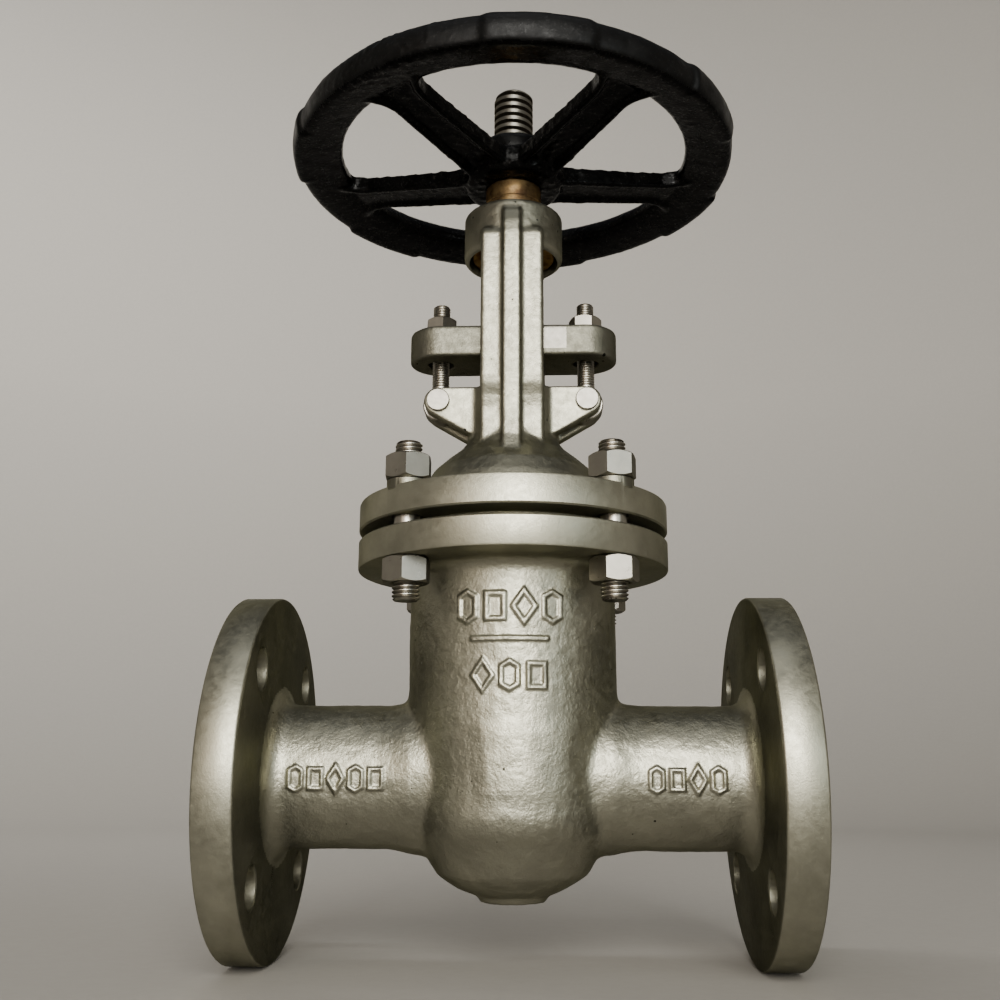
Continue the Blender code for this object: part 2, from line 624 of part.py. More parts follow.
def main():
    make_body()
    make_seat("seat_ring_inlet", -1)
    make_seat("seat_ring_outlet", 1)
    make_wedge()
    make_stem()
    make_bonnet()
    make_seals()
    make_gland()
    for word, side in SIDES:
        make_eyebolt(word, side)
    make_studs()
    make_stem_nut()
    make_handwheel()
    make_wheel_nut()
    for cutter in CUTTERS.objects:
        cutter.hide_render = True
        cutter.display_type = "WIRE"


main()
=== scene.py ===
"""Looks of a flanged wedge gate valve, DN 50 size, with its stage and camera.

Units are metres; sizes of the pieces are written in millimetres and turned by
mm(). +Z runs up the stem and +X along the pipe, as in the frame.
"""

import math
from contextlib import contextmanager

import bmesh
import bpy
from bpy.props import FloatProperty, FloatVectorProperty, IntProperty, PointerProperty
from mathutils import Matrix, Vector, noise


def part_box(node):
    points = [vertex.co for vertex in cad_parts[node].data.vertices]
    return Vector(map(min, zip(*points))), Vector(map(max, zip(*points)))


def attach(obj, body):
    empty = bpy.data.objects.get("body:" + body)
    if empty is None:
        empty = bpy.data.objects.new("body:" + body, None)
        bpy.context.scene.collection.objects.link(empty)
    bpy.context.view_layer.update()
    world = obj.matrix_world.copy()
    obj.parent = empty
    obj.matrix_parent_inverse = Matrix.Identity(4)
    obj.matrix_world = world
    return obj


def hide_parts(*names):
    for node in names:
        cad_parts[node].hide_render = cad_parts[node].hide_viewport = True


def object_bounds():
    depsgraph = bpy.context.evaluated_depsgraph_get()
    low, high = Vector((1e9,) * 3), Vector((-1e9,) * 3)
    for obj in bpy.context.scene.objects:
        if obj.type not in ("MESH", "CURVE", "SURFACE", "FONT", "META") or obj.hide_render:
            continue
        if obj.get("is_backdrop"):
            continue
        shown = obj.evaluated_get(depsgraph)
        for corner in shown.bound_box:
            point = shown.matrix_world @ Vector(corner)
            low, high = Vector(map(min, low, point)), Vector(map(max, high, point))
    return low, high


bl_info = {
    "name": "Gate valve looks",
    "version": (1, 0, 0),
    "blender": (4, 5, 0),
    "location": "View3D > Sidebar > Valve",
    "description": "Builds the detailed pieces and materials of a flanged gate valve",
    "category": "Object",
}

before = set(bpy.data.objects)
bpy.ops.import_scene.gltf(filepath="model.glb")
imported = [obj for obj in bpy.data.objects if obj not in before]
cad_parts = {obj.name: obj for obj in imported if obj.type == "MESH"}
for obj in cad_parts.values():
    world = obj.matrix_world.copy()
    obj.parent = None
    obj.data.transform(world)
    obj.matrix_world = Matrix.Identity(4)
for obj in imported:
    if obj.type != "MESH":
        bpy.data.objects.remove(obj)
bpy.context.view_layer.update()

SIDES = (("left", -1), ("right", 1))
CORNERS = (("front_left", -1, -1), ("front_right", 1, -1),
           ("back_left", -1, 1), ("back_right", 1, 1))


def mm(value):
    return value * 0.001


def held(value):
    """The value kept between 0 and 1."""
    return max(0.0, min(1.0, value))


def rgb(hex_colour):
    """An sRGB hex colour as linear red, green and blue."""
    channels = [int(hex_colour[i:i + 2], 16) / 255 for i in (1, 3, 5)]
    return tuple(c / 12.92 if c <= 0.04045 else ((c + 0.055) / 1.055) ** 2.4 for c in channels)


# ---------------------------------------------------------------- settings
def length_setting(name, description, millimetres):
    return FloatProperty(name=name, description=description, default=mm(millimetres), unit="LENGTH")


def colour_setting(name, description, hex_colour):
    return FloatVectorProperty(name=name, description=description, subtype="COLOR", default=rgb(hex_colour))


class ValveSizes(bpy.types.PropertyGroup):
    """Sizes that change the look and not the design."""
    body_grid: length_setting("Body grid", "Mesh size of the cast body", 1.15)
    yoke_grid: length_setting("Yoke grid", "Mesh size of the cast bonnet and yoke", 0.8)
    wheel_grid: length_setting("Wheel grid", "Mesh size of the handwheel", 0.95)
    peel_depth: length_setting("Peel depth", "Height of the lumps of the casting's skin", 0.14)
    stem_pitch: length_setting("Stem pitch", "Pitch of the stem's trapezoidal thread", 4.0)
    turns: IntProperty(name="Sides", description="Sides of the turned pieces", default=96, min=24)


class ValveFinish(bpy.types.PropertyGroup):
    """Colours of the finishes."""
    casting: colour_setting("Casting", "Shot-blasted stainless casting", "#A8A695")
    machined: colour_setting("Machined steel", "Turned and milled stainless steel", "#ABA79D")
    bronze: colour_setting("Bronze", "Turned bronze of the stem nut", "#9A8058")
    enamel: colour_setting("Enamel", "Black enamel of the handwheel", "#020202")
    backdrop: colour_setting("Backdrop", "Pale floor and backdrop", "#B9B5AE")


def sizes():
    return bpy.context.scene.valve_sizes


def finish():
    return bpy.context.scene.valve_finish


# ---------------------------------------------------------------- materials
def add_node(tree, kind, settings=None, links=None):
    """Add a node; settings go to its attributes or sockets, links join its inputs."""
    node = tree.nodes.new(kind)
    for key, value in (settings or {}).items():
        if isinstance(key, str) and hasattr(node, key):
            setattr(node, key, value)
        else:
            node.inputs[key].default_value = value
    for key, source in (links or {}).items():
        tree.links.new(source, node.inputs[key])
    return node


EDGE_TINT = rgb("#6E706A")      # what the blasted and oxidised skins send back at a grazing angle


def new_material(name, colour, metallic, roughness):
    """A named Principled material and its tree, shader and Object coordinates."""
    material = bpy.data.materials.get(name)
    if material:
        return material, None, None, None
    material = bpy.data.materials.new(name)
    material.use_nodes = True
    tree = material.node_tree
    shader = tree.nodes["Principled BSDF"]
    shader.inputs["Base Color"].default_value = (*colour, 1.0)
    shader.inputs["Metallic"].default_value = metallic
    shader.inputs["Roughness"].default_value = roughness
    if metallic > 0.5:
        shader.inputs["Specular Tint"].default_value = (*EDGE_TINT, 1.0)
    place = add_node(tree, "ShaderNodeTexCoord").outputs["Object"]
    return material, tree, shader, place


def per_mm(size):
    """The scale of a pattern whose features are about that many millimetres wide."""
    return 1000.0 / size


def blend_colours(tree, dark, light, factor):
    """A colour that a pattern moves between dark and light."""
    return add_node(tree, "ShaderNodeMix", {"data_type": "RGBA", 6: (*dark, 1.0), 7: (*light, 1.0)},
                    {0: factor}).outputs[2]


def span(tree, value, low, high, out_low, out_high):
    """Stretch a value from one range to another, held at both ends."""
    return add_node(tree, "ShaderNodeMapRange", {1: low, 2: high, 3: out_low, 4: out_high},
                    {0: value}).outputs[0]


def noise_at(tree, place, size, detail=3.0, rough=0.5):
    """A cloudy pattern whose features are about size millimetres wide."""
    return add_node(tree, "ShaderNodeTexNoise", {"Scale": per_mm(size), "Detail": detail, "Roughness": rough},
                    {"Vector": place}).outputs["Fac"]


def bump(tree, height, depth, under=None):
    """Relief of the given depth in millimetres, laid over another relief if one is given."""
    links = {"Height": height}
    if under:
        links["Normal"] = under
    return add_node(tree, "ShaderNodeBump", {"Distance": mm(depth), "Strength": 1.0}, links).outputs["Normal"]


def shade(colour, factor):
    """The same colour, darker or lighter."""
    return tuple(c * factor for c in colour)


def blasted_casting(name="blasted_stainless_casting", grain=1.0, tone=1.0, pits=1.0, rough=0.41):
    """Stainless steel cast in an investment mould, pickled and shot-blasted: a soft,
    warm grey metal whose skin glitters in small lumps and holds a few dark pits."""
    base = shade(tuple(finish().casting), tone)
    material, tree, shader, place = new_material(name, base, 1.0, rough)
    if tree is None:
        return material
    cloud = noise_at(tree, place, 22.0, 4.0, 0.6)
    tint = blend_colours(tree, shade(base, 0.78), shade(base, 1.06), span(tree, cloud, 0.32, 0.68, 0.0, 1.0))
    spots = add_node(tree, "ShaderNodeTexVoronoi", {"Scale": per_mm(5.0), "Randomness": 1.0},
                     {"Vector": place}).outputs["Distance"]
    thin_out = noise_at(tree, place, 14.0, 2.0)
    spot_size = span(tree, thin_out, 0.50, 0.75, 0.0, 0.13 * pits)
    pit = add_node(tree, "ShaderNodeMath", {"operation": "LESS_THAN"}, {0: spots, 1: spot_size}).outputs[0]
    colour = add_node(tree, "ShaderNodeMix", {"data_type": "RGBA", 7: (*shade(base, 0.10), 1.0)},
                      {0: pit, 6: tint}).outputs[2]
    tree.links.new(colour, shader.inputs["Base Color"])
    wear = noise_at(tree, place, 3.2, 4.0, 0.7)
    tree.links.new(span(tree, wear, 0.3, 0.7, rough - 0.08, rough + 0.08), shader.inputs["Roughness"])
    lumps = bump(tree, noise_at(tree, place, 1.6, 2.0, 0.5), 0.20 * grain)
    grit = bump(tree, noise_at(tree, place, 0.7, 2.0, 0.6), 0.075 * (0.5 + 0.5 * grain), lumps)
    pocks = bump(tree, add_node(tree, "ShaderNodeMath", {"operation": "SUBTRACT", 0: 1.0},
                                {1: pit}).outputs[0], 0.15, grit)
    tree.links.new(pocks, shader.inputs["Normal"])
    return material


def flange_casting():
    """The flanges' rims: the same steel turned before blasting, finer and a little lighter."""
    return blasted_casting("fine_blasted_flange", 0.20, 1.05, 0.35)


def scaled_casting():
    """Backs of flanges and pads: a darker copy of the casting, painted shade."""
    return blasted_casting("scaled_flange_back", 0.35, 0.55, 0.6)


def lapped_steel():
    """Hard facing of wedge and seats, lapped nearly to a mirror."""
    return machined_steel("lapped_seat_steel", 0.95, 0.16)


def machined_steel(name="machined_stainless", tone=1.0, rough=0.31):
    """Stainless bar turned and milled: bright, with faint tool marks and a few stains."""
    base = shade(tuple(finish().machined), tone)
    material, tree, shader, place = new_material(name, base, 1.0, rough)
    if tree is None:
        return material
    stains = noise_at(tree, place, 9.0, 3.0, 0.6)
    tint = blend_colours(tree, shade(base, 0.86), base, span(tree, stains, 0.35, 0.6, 0.0, 1.0))
    tree.links.new(tint, shader.inputs["Base Color"])
    wear = noise_at(tree, place, 3.0, 3.0, 0.6)
    tree.links.new(span(tree, wear, 0.3, 0.7, rough - 0.04, rough + 0.05), shader.inputs["Roughness"])
    squash = add_node(tree, "ShaderNodeMapping", {"Scale": (1.0, 1.0, 14.0)}, {"Vector": place}).outputs[0]
    marks = bump(tree, noise_at(tree, squash, 6.0, 2.0), 0.006)
    tree.links.new(marks, shader.inputs["Normal"])
    return material


def faced_steel():
    """The pipe flanges' sealing faces, turned with fine rings that grip the gasket.
    Real rings are 0.8 mm apart."""
    base = shade(tuple(finish().machined), 0.92)
    material, tree, shader, place = new_material("faced_stainless", base, 1.0, 0.3)
    if tree is None:
        return material
    flat = add_node(tree, "ShaderNodeMapping", {"Scale": (0.0, 1.0, 1.0)}, {"Vector": place}).outputs[0]
    reach = add_node(tree, "ShaderNodeVectorMath", {"operation": "LENGTH"}, {0: flat}).outputs["Value"]
    turns = add_node(tree, "ShaderNodeMath", {"operation": "MULTIPLY", 1: math.tau / mm(0.8)}, {0: reach})
    wave = add_node(tree, "ShaderNodeMath", {"operation": "SINE"}, {0: turns.outputs[0]}).outputs[0]
    tree.links.new(bump(tree, wave, 0.06), shader.inputs["Normal"])
    stains = noise_at(tree, place, 7.0, 4.0, 0.6)
    tree.links.new(blend_colours(tree, shade(base, 0.75), base, stains), shader.inputs["Base Color"])
    return material


def greased_groove():
    """The roots of the threads, painted dark: painted shade in the grooves, with a mottle."""
    base = rgb("#4A463F")
    material, tree, shader, place = new_material("greased_thread_root", base, 0.8, 0.45)
    if tree is None:
        return material
    dirt = noise_at(tree, place, 1.5, 3.0)
    tree.links.new(blend_colours(tree, rgb("#1E1B17"), rgb("#6E675C"), dirt), shader.inputs["Base Color"])
    return material


def turned_bronze():
    """Cast aluminium bronze, turned: brown yellow, duller and browner where it has been handled."""
    base = tuple(finish().bronze)
    material, tree, shader, place = new_material("turned_bronze", base, 1.0, 0.44)
    if tree is None:
        return material
    tarnish = noise_at(tree, place, 5.0, 4.0, 0.6)
    tint = blend_colours(tree, rgb("#5A4632"), base, span(tree, tarnish, 0.35, 0.62, 0.0, 1.0))
    tree.links.new(tint, shader.inputs["Base Color"])
    squash = add_node(tree, "ShaderNodeMapping", {"Scale": (1.0, 1.0, 12.0)}, {"Vector": place}).outputs[0]
    tree.links.new(bump(tree, noise_at(tree, squash, 5.0, 2.0), 0.02), shader.inputs["Normal"])
    return material


def black_enamel(name="black_brushed_enamel", low=0.10, high=0.34, lumps=1.0, gloss=0.06):
    """Black air-drying enamel brushed over a rough iron casting: deep gloss that
    breaks up over the lumps, with dull dusty patches."""
    base = tuple(finish().enamel)
    material, tree, shader, place = new_material(name, base, 0.0, 0.2)
    if tree is None:
        return material
    cloud = noise_at(tree, place, 16.0, 4.0, 0.6)
    tint = blend_colours(tree, base, rgb("#080808"), span(tree, cloud, 0.40, 0.70, 0.0, 1.0))
    tree.links.new(tint, shader.inputs["Base Color"])
    tree.links.new(span(tree, noise_at(tree, place, 9.0, 4.0, 0.6), 0.35, 0.65, low, high),
                   shader.inputs["Roughness"])
    drips = noise_at(tree, place, 1.5, 3.0, 0.6)
    tree.links.new(span(tree, drips, 0.58, 0.70, gloss, gloss + 0.24 * lumps),
                   shader.inputs["Specular IOR Level"])
    skin = bump(tree, noise_at(tree, place, 6.0, 3.0, 0.5), 0.30 * lumps)
    tree.links.new(bump(tree, noise_at(tree, place, 1.3, 2.0, 0.5), 0.12 * lumps, skin),
                   shader.inputs["Normal"])
    return material


def pressed_graphite():
    """Pressed graphite ribbon: dull black with a faint grey shine."""
    base = rgb("#2B2B2C")
    material, tree, shader, place = new_material("pressed_graphite", base, 0.2, 0.55)
    if tree is None:
        return material
    flakes = noise_at(tree, place, 0.8, 3.0)
    tree.links.new(blend_colours(tree, rgb("#161616"), rgb("#3C3C3D"), flakes), shader.inputs["Base Color"])
    return material


def pale_backdrop():
    """Pale grey studio paper with a faint mottle, and painted shade that darkens it towards the bottom."""
    base = tuple(finish().backdrop)
    material, tree, shader, place = new_material("pale_backdrop", base, 0.0, 0.9)
    if tree is None:
        return material
    mottle = noise_at(tree, place, 6.0, 5.0, 0.7)
    tint = blend_colours(tree, shade(base, 0.93), shade(base, 1.05), mottle)
    # painted shade: the paper darkens to about 0.65 of its colour at the floor and is full from 0.9 m up
    rise = add_node(tree, "ShaderNodeSeparateXYZ", {}, {0: place}).outputs["Z"]
    dusk = add_node(tree, "ShaderNodeMix", {"data_type": "RGBA", "blend_type": "MULTIPLY", 0: 1.0},
                    {6: tint, 7: span(tree, rise, -0.1, 0.9, 0.65, 1.0)}).outputs[2]
    tree.links.new(dusk, shader.inputs["Base Color"])
    shader.inputs["Specular IOR Level"].default_value = 0.15
    return material


# ---------------------------------------------------------------- modelling helpers
def in_scene(name, data):
    """An object of the scene that shows a mesh, a light or a camera."""
    obj = bpy.data.objects.new(name, data)
    bpy.context.scene.collection.objects.link(obj)
    return obj


def to_object(name, bm):
    mesh = bpy.data.meshes.new(name)
    bm.to_mesh(mesh)
    bm.free()
    return in_scene(name, mesh)


def spun_mesh(outline, steps, closed):
    """A (radius, z) outline in metres turned about Z into a closed skin."""
    bm = bmesh.new()
    verts = [bm.verts.new((r, 0.0, z)) for r, z in outline]
    edges = [bm.edges.new(pair) for pair in zip(verts, verts[1:])]
    if closed:
        edges.append(bm.edges.new((verts[-1], verts[0])))
    bmesh.ops.spin(bm, geom=verts + edges, cent=(0, 0, 0), axis=(0, 0, 1), angle=math.tau, steps=steps,
                   use_merge=True)
    bmesh.ops.remove_doubles(bm, verts=bm.verts, dist=1e-6)
    bmesh.ops.dissolve_degenerate(bm, edges=bm.edges, dist=1e-6)
    bmesh.ops.recalc_face_normals(bm, faces=bm.faces)
    return bm


def spun(name, outline, closed=False, steps=None):
    """The same, with the outline in millimetres, as an object."""
    points = [(mm(r), mm(z)) for r, z in outline]
    return to_object(name, spun_mesh(points, steps or sizes().turns, closed))


def round_bar(name, radius, low, high, edge=0.0, steps=None):
    """A round bar along Z with its edges broken by a small chamfer."""
    if edge:
        outline = [(0, high), (radius - edge, high), (radius, high - edge),
                   (radius, low + edge), (radius - edge, low), (0, low)]
    else:
        outline = [(0, high), (radius, high), (radius, low), (0, low)]
    return spun(name, outline, False, steps)


def drill(name, radius, low, high, flare=0.0, mouths=None):
    """A round cutter along Z, countersunk by flare where it leaves the metal at two mouths."""
    if mouths:
        bottom, top = mouths
        wide = radius + flare + 1.0
        side = [(wide, high), (wide, top + 1.0), (radius, top - flare), (radius, bottom + flare),
                (wide, bottom - 1.0), (wide, low)]
    else:
        side = [(radius, high), (radius, low)]
    return spun(name, [(0, high)] + side + [(0, low)], False, 48)


def arc(centre, radius, start, end, count):
    """Points on a part of a circle, from one angle in degrees to another."""
    points = []
    for i in range(count + 1):
        angle = math.radians(start + (end - start) * i / count)
        points.append((centre[0] + radius * math.cos(angle), centre[1] + radius * math.sin(angle)))
    return points


def plate(name, outline, thickness, edge=0.0):
    """A flat outline in XY, in millimetres, made a slab about Z = 0 with softened edges."""
    bm = bmesh.new()
    verts = [bm.verts.new((mm(x), mm(y), mm(-thickness / 2))) for x, y in outline]
    face = bm.faces.new(verts)
    grown = bmesh.ops.extrude_face_region(bm, geom=[face])
    moved = [item for item in grown["geom"] if isinstance(item, bmesh.types.BMVert)]
    bmesh.ops.translate(bm, verts=moved, vec=(0, 0, mm(thickness)))
    bmesh.ops.recalc_face_normals(bm, faces=bm.faces)
    if edge:
        sharp = [e for e in bm.edges if e.calc_face_angle(0.0) > math.radians(50)]
        bmesh.ops.bevel(bm, geom=sharp, offset=mm(edge), affect="EDGES", segments=3, profile=0.5,
                        material=-1)
    return to_object(name, bm)


def block(name, low, high, edge=0.0):
    """A box between two corners, in millimetres, with softened edges."""
    bm = bmesh.new()
    size = [mm(b - a) for a, b in zip(low, high)]
    middle = Vector([mm(a + b) / 2 for a, b in zip(low, high)])
    bmesh.ops.create_cube(bm, size=1.0, matrix=Matrix.Translation(middle) @ Matrix.Diagonal((*size, 1.0)))
    if edge:
        bmesh.ops.bevel(bm, geom=list(bm.edges), offset=mm(edge), affect="EDGES", segments=3, profile=0.5,
                        material=-1)
    return to_object(name, bm)


def place(obj, matrix):
    obj.data.transform(matrix)
    return obj


def shift(obj, x=0.0, y=0.0, z=0.0):
    return place(obj, Matrix.Translation((mm(x), mm(y), mm(z))))


def turn(obj, degrees, axis="Z"):
    return place(obj, Matrix.Rotation(math.radians(degrees), 4, axis))


def on_side(obj, side):
    """Turn a piece made for +X half round if its side is -1."""
    return turn(obj, 0 if side > 0 else 180)


def settle(obj):
    """Turn the object's modifiers into its mesh."""
    depsgraph = bpy.context.evaluated_depsgraph_get()
    mesh = bpy.data.meshes.new_from_object(obj.evaluated_get(depsgraph))
    obj.modifiers.clear()
    obj.data = mesh
    return obj


def join_loose(name, objects):
    """Gather meshes in one object without joining their skins."""
    bm = bmesh.new()
    for obj in objects:
        bm.from_mesh(obj.data)
        bpy.data.objects.remove(obj, do_unlink=True)
    return to_object(name, bm)


def boolean(obj, cutters, operation):
    """Join or cut with several shapes that don't touch each other."""
    cutter = join_loose("cutter", cutters)
    modifier = obj.modifiers.new("boolean", "BOOLEAN")
    modifier.operation = operation
    modifier.solver = "EXACT"
    modifier.object = cutter
    settle(obj)
    bpy.data.objects.remove(cutter, do_unlink=True)
    return obj


@contextmanager
def edited(obj):
    """The object's mesh as a bmesh, written back at the end."""
    bm = bmesh.new()
    bm.from_mesh(obj.data)
    yield bm
    bm.to_mesh(obj.data)
    bm.free()


def soften(obj, times, chosen=None):
    """Round the skin a number of times, only where chosen(position) is true if it is given."""
    with edited(obj) as bm:
        verts = [v for v in bm.verts if chosen is None or chosen(v.co)]
        for _ in range(times):
            bmesh.ops.smooth_vert(bm, verts=verts, factor=0.5, use_axis_x=True, use_axis_y=True,
                                  use_axis_z=True)
    return obj


def cast(name, shapes, grid, softness):
    """Fuse overlapping shapes into one skin and round it as a casting is rounded."""
    obj = join_loose(name, shapes)
    remesh = obj.modifiers.new("skin", "REMESH")
    remesh.mode = "VOXEL"
    remesh.voxel_size = grid * 1.0
    remesh.adaptivity = 0.0
    settle(obj)
    return soften(obj, softness)


def roughen(obj, height, seed):
    """Push each point of the skin along its normal by height(position, offset), in metres."""
    offset = Vector((seed, seed * 0.7, -seed))
    with edited(obj) as bm:
        bm.normal_update()
        for vert in bm.verts:
            vert.co += vert.normal * height(vert.co, offset)
    return obj


def lumpy(position, offset, size, depth):
    return noise.noise((position + offset) / mm(size)) * depth


def dress(obj, materials, body, pick=None, angle=35.0):
    """Give a piece its materials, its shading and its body."""
    obj.data.materials.clear()
    for material in materials:
        obj.data.materials.append(material)
    for polygon in obj.data.polygons:
        polygon.material_index = pick(polygon.center, polygon.normal) if pick else 0
    obj.data.shade_smooth()
    obj.data.set_sharp_from_angle(angle=math.radians(angle))
    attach(obj, body)
    return obj


def copy_piece(source, name, matrix):
    """A second piece of the same shape, moved in its mesh."""
    return place(in_scene(name, source.data.copy()), matrix)


def groove_cutter(radius, depth, pitch, low, high, root, mouth, left_hand=False, steps=32):
    """A coil that cuts a thread's groove. root and mouth are the groove's widths."""
    count = int(round((high - low) / pitch * steps))
    bm = bmesh.new()
    beyond = depth * 0.4
    widen = (mouth - root) / 2 / depth
    section = ((radius + beyond, mouth / 2 + beyond * widen), (radius - depth, root / 2),
               (radius - depth, -root / 2), (radius + beyond, -mouth / 2 - beyond * widen))
    verts = [bm.verts.new((mm(r), 0.0, mm(low + z))) for r, z in section]
    edges = [bm.edges.new((verts[i], verts[(i + 1) % 4])) for i in range(4)]
    hand = -1 if left_hand else 1
    bmesh.ops.spin(bm, geom=verts + edges, cent=(0, 0, 0), axis=(0, 0, 1),
                   dvec=(0, 0, mm(pitch) / steps), angle=hand * math.tau * count / steps, steps=count)
    bmesh.ops.holes_fill(bm, edges=[e for e in bm.edges if e.is_boundary])
    bmesh.ops.recalc_face_normals(bm, faces=bm.faces)
    return to_object("groove", bm)


# ---------------------------------------------------------------- shared measures, millimetres
def node_span(node, axis):
    low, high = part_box(node)
    return low[axis] * 1000, high[axis] * 1000


BORE_R = 25.0
FLANGE_R = 80.0
HALF_LENGTH = 125.0
BACK_X = 105.0
RIM_X = 122.0
RAISED_R = 50.5
NECK_R = 31.5
BARREL_R = 47.5
BODY_FLANGE = (91.9, 105.4)
BONNET_FLANGE = (109.8, 122.9)
BONNET_FLANGE_R = 72.2
LAND_R = 56.0
STUD_PLACE = 44.7
STUD_HOLE_R = 7.0
PAD_RISE = 3.0
BOLT_CIRCLE_R = 62.5
BOLT_HOLE_R = 9.0
WEDGE_ANGLE = 5.0
SEAT_FACE = 10.0 * math.cos(math.radians(WEDGE_ANGLE)) + 0.3
SEAT_BACK = SEAT_FACE + 8.0
EYE_X = 35.5
EYE_Z = 174.5
HUB_Z = (250.0, 274.0)
WHEEL_R = 101.5
WHEEL_Z = 307.0


def at_stud(obj, x, y):
    """Move a piece to the corner whose signs are x and y."""
    return shift(obj, x * STUD_PLACE, y * STUD_PLACE)


def seat_frame(side):
    """The tilted frame of a seat: its own X is the seat's axis, outwards."""
    flip = Matrix.Rotation(0.0 if side > 0 else math.pi, 4, "Z")
    return flip @ Matrix.Rotation(math.radians(WEDGE_ANGLE), 4, "Y")


# ---------------------------------------------------------------- body
def bar_distance(s, t, half, radius):
    """Signed distance from a flat point to a level bar with round ends."""
    return math.hypot(max(abs(s) - half, 0.0), t) - radius


def hexagon_distance(s, t, half_width, half_height, stroke):
    """Signed distance to the outline of a hexagon that stands on a corner."""
    return abs(max(abs(s) - half_width, 0.5 * abs(s) + 0.866 * (abs(t) - half_height))) - stroke


def box_distance(s, t, half_width, half_height, stroke):
    """Signed distance to an upright rectangle's outline."""
    return abs(max(abs(s) - half_width, abs(t) - half_height)) - stroke


def lozenge_distance(s, t, half_width, half_height, stroke):
    """Signed distance to a lozenge's outline."""
    slope = math.hypot(1 / half_width, 1 / half_height)
    return abs((abs(s) / half_width + abs(t) / half_height - 1) / slope) - stroke


# shape, place across and up, half width, half height and half stroke
BARREL_SHAPES = (
    (hexagon_distance, -18.5, 70.6, 3.8, 6.4, 1.0), (box_distance, -6.2, 70.6, 3.8, 5.4, 1.0),
    (lozenge_distance, 6.2, 70.6, 4.8, 6.8, 1.0), (hexagon_distance, 18.5, 70.6, 3.8, 6.4, 1.0),
    (lozenge_distance, -11.5, 41.6, 4.4, 6.2, 0.95), (hexagon_distance, 0.0, 41.6, 3.5, 5.8, 0.95),
    (box_distance, 11.5, 41.6, 3.5, 4.9, 0.95))
NECK_SHAPES = ((hexagon_distance, 2.7, 5.0), (box_distance, 2.7, 4.0), (lozenge_distance, 3.3, 5.4))


def barrel_marks(s, z):
    """Plain raised shapes on the barrel's front, in millimetres across and up."""
    shapes = [shape(s - across, z - up, half_width, half_height, stroke)
              for shape, across, up, half_width, half_height, stroke in BARREL_SHAPES]
    return min(bar_distance(s, z - 57.0, 16.0, 1.0), *shapes)


def neck_marks(s, t, count):
    """A row of plain raised shapes on the front of a port neck."""
    distances = []
    for i in range(count):
        shape, half_width, half_height = NECK_SHAPES[i % 3]
        across = s - (i - (count - 1) / 2) * 8.6
        distances.append(shape(across, t, half_width, half_height, 0.8))
    return min(distances)


NECK_MARKS_X = 74.5
NECK_MARKS_Z = -0.9


def mark_height(position):
    """Height of the raised marks at a point of the body's front, in metres."""
    x, y, z = (c * 1000 for c in position)
    if y > 0:
        return 0.0
    distance = 9.0
    if 30 < z < 82 and abs(x) < 32:
        distance = barrel_marks(math.asin(max(-1, min(1, x / BARREL_R))) * BARREL_R, z)
    elif abs(z - NECK_MARKS_Z) < 9 and 50 < abs(x) < 100:
        distance = neck_marks(x - math.copysign(NECK_MARKS_X, x), z - NECK_MARKS_Z, 4 if x > 0 else 5)
    return mm(0.9) * held(0.5 - distance / 0.8)


def in_mark_field(centre):
    x, y, z = (c * 1000 for c in centre)
    on_barrel = 33 < z < 80 and abs(x) < 25
    on_neck = abs(z - NECK_MARKS_Z) < 7 and 52 < abs(x) < 97
    return y < 0 and (on_barrel or on_neck)


def add_marks(obj):
    """Refine the skin under the marks and raise them."""
    with edited(obj) as bm:
        edges = [e for e in bm.edges if any(in_mark_field(f.calc_center_median()) for f in e.link_faces)]
        bmesh.ops.subdivide_edges(bm, edges=edges, cuts=1, use_grid_fill=True)
        bm.normal_update()
        for vert in bm.verts:
            vert.co += vert.normal * mark_height(vert.co)


def body_core():
    low = BODY_FLANGE[0]
    barrel = [(0, low + 4), (BARREL_R + 11, low + 4), (BARREL_R + 11, low + 0.1)]
    barrel += arc((BARREL_R + 6, low - 6), 6, 90, 180, 5)
    barrel += [(BARREL_R, -8)] + arc((27.5, -14), 20, 0, -42, 6)
    barrel += arc((0, 1.2), 54, -52, -74, 4) + [(15.2, -51.1), (14.6, -53.2), (0, -53.2)]
    neck_end = [(0, BACK_X + 2), (NECK_R + 11.5, BACK_X + 2), (NECK_R + 11.5, BACK_X + 0.12)]
    neck_end += arc((NECK_R + 8, BACK_X - 8), 8, 90, 180, 6)
    neck_end += [(NECK_R, 56), (NECK_R + 0.8, 50), (NECK_R + 2.2, 44), (NECK_R + 2.6, 36)]
    necks = neck_end + [(r, -z) for r, z in reversed(neck_end)]
    return [spun("barrel", barrel), turn(spun("necks", necks), 90, "Y")]


def dressed_patch(position):
    """A patch of the lower front left a little proud where a feeder was ground off."""
    if position.y > mm(-25):
        return 0.0
    across = (abs(position.x * 1000 - 7.0) - 20.0) / 3.0
    up = (abs(position.z * 1000 - 6.0) - 15.0) / 3.0
    away = math.hypot(max(across, 0.0), max(up, 0.0)) + min(max(across, up), 0.0)
    return mm(0.55) * held(0.5 - away / 2.0)


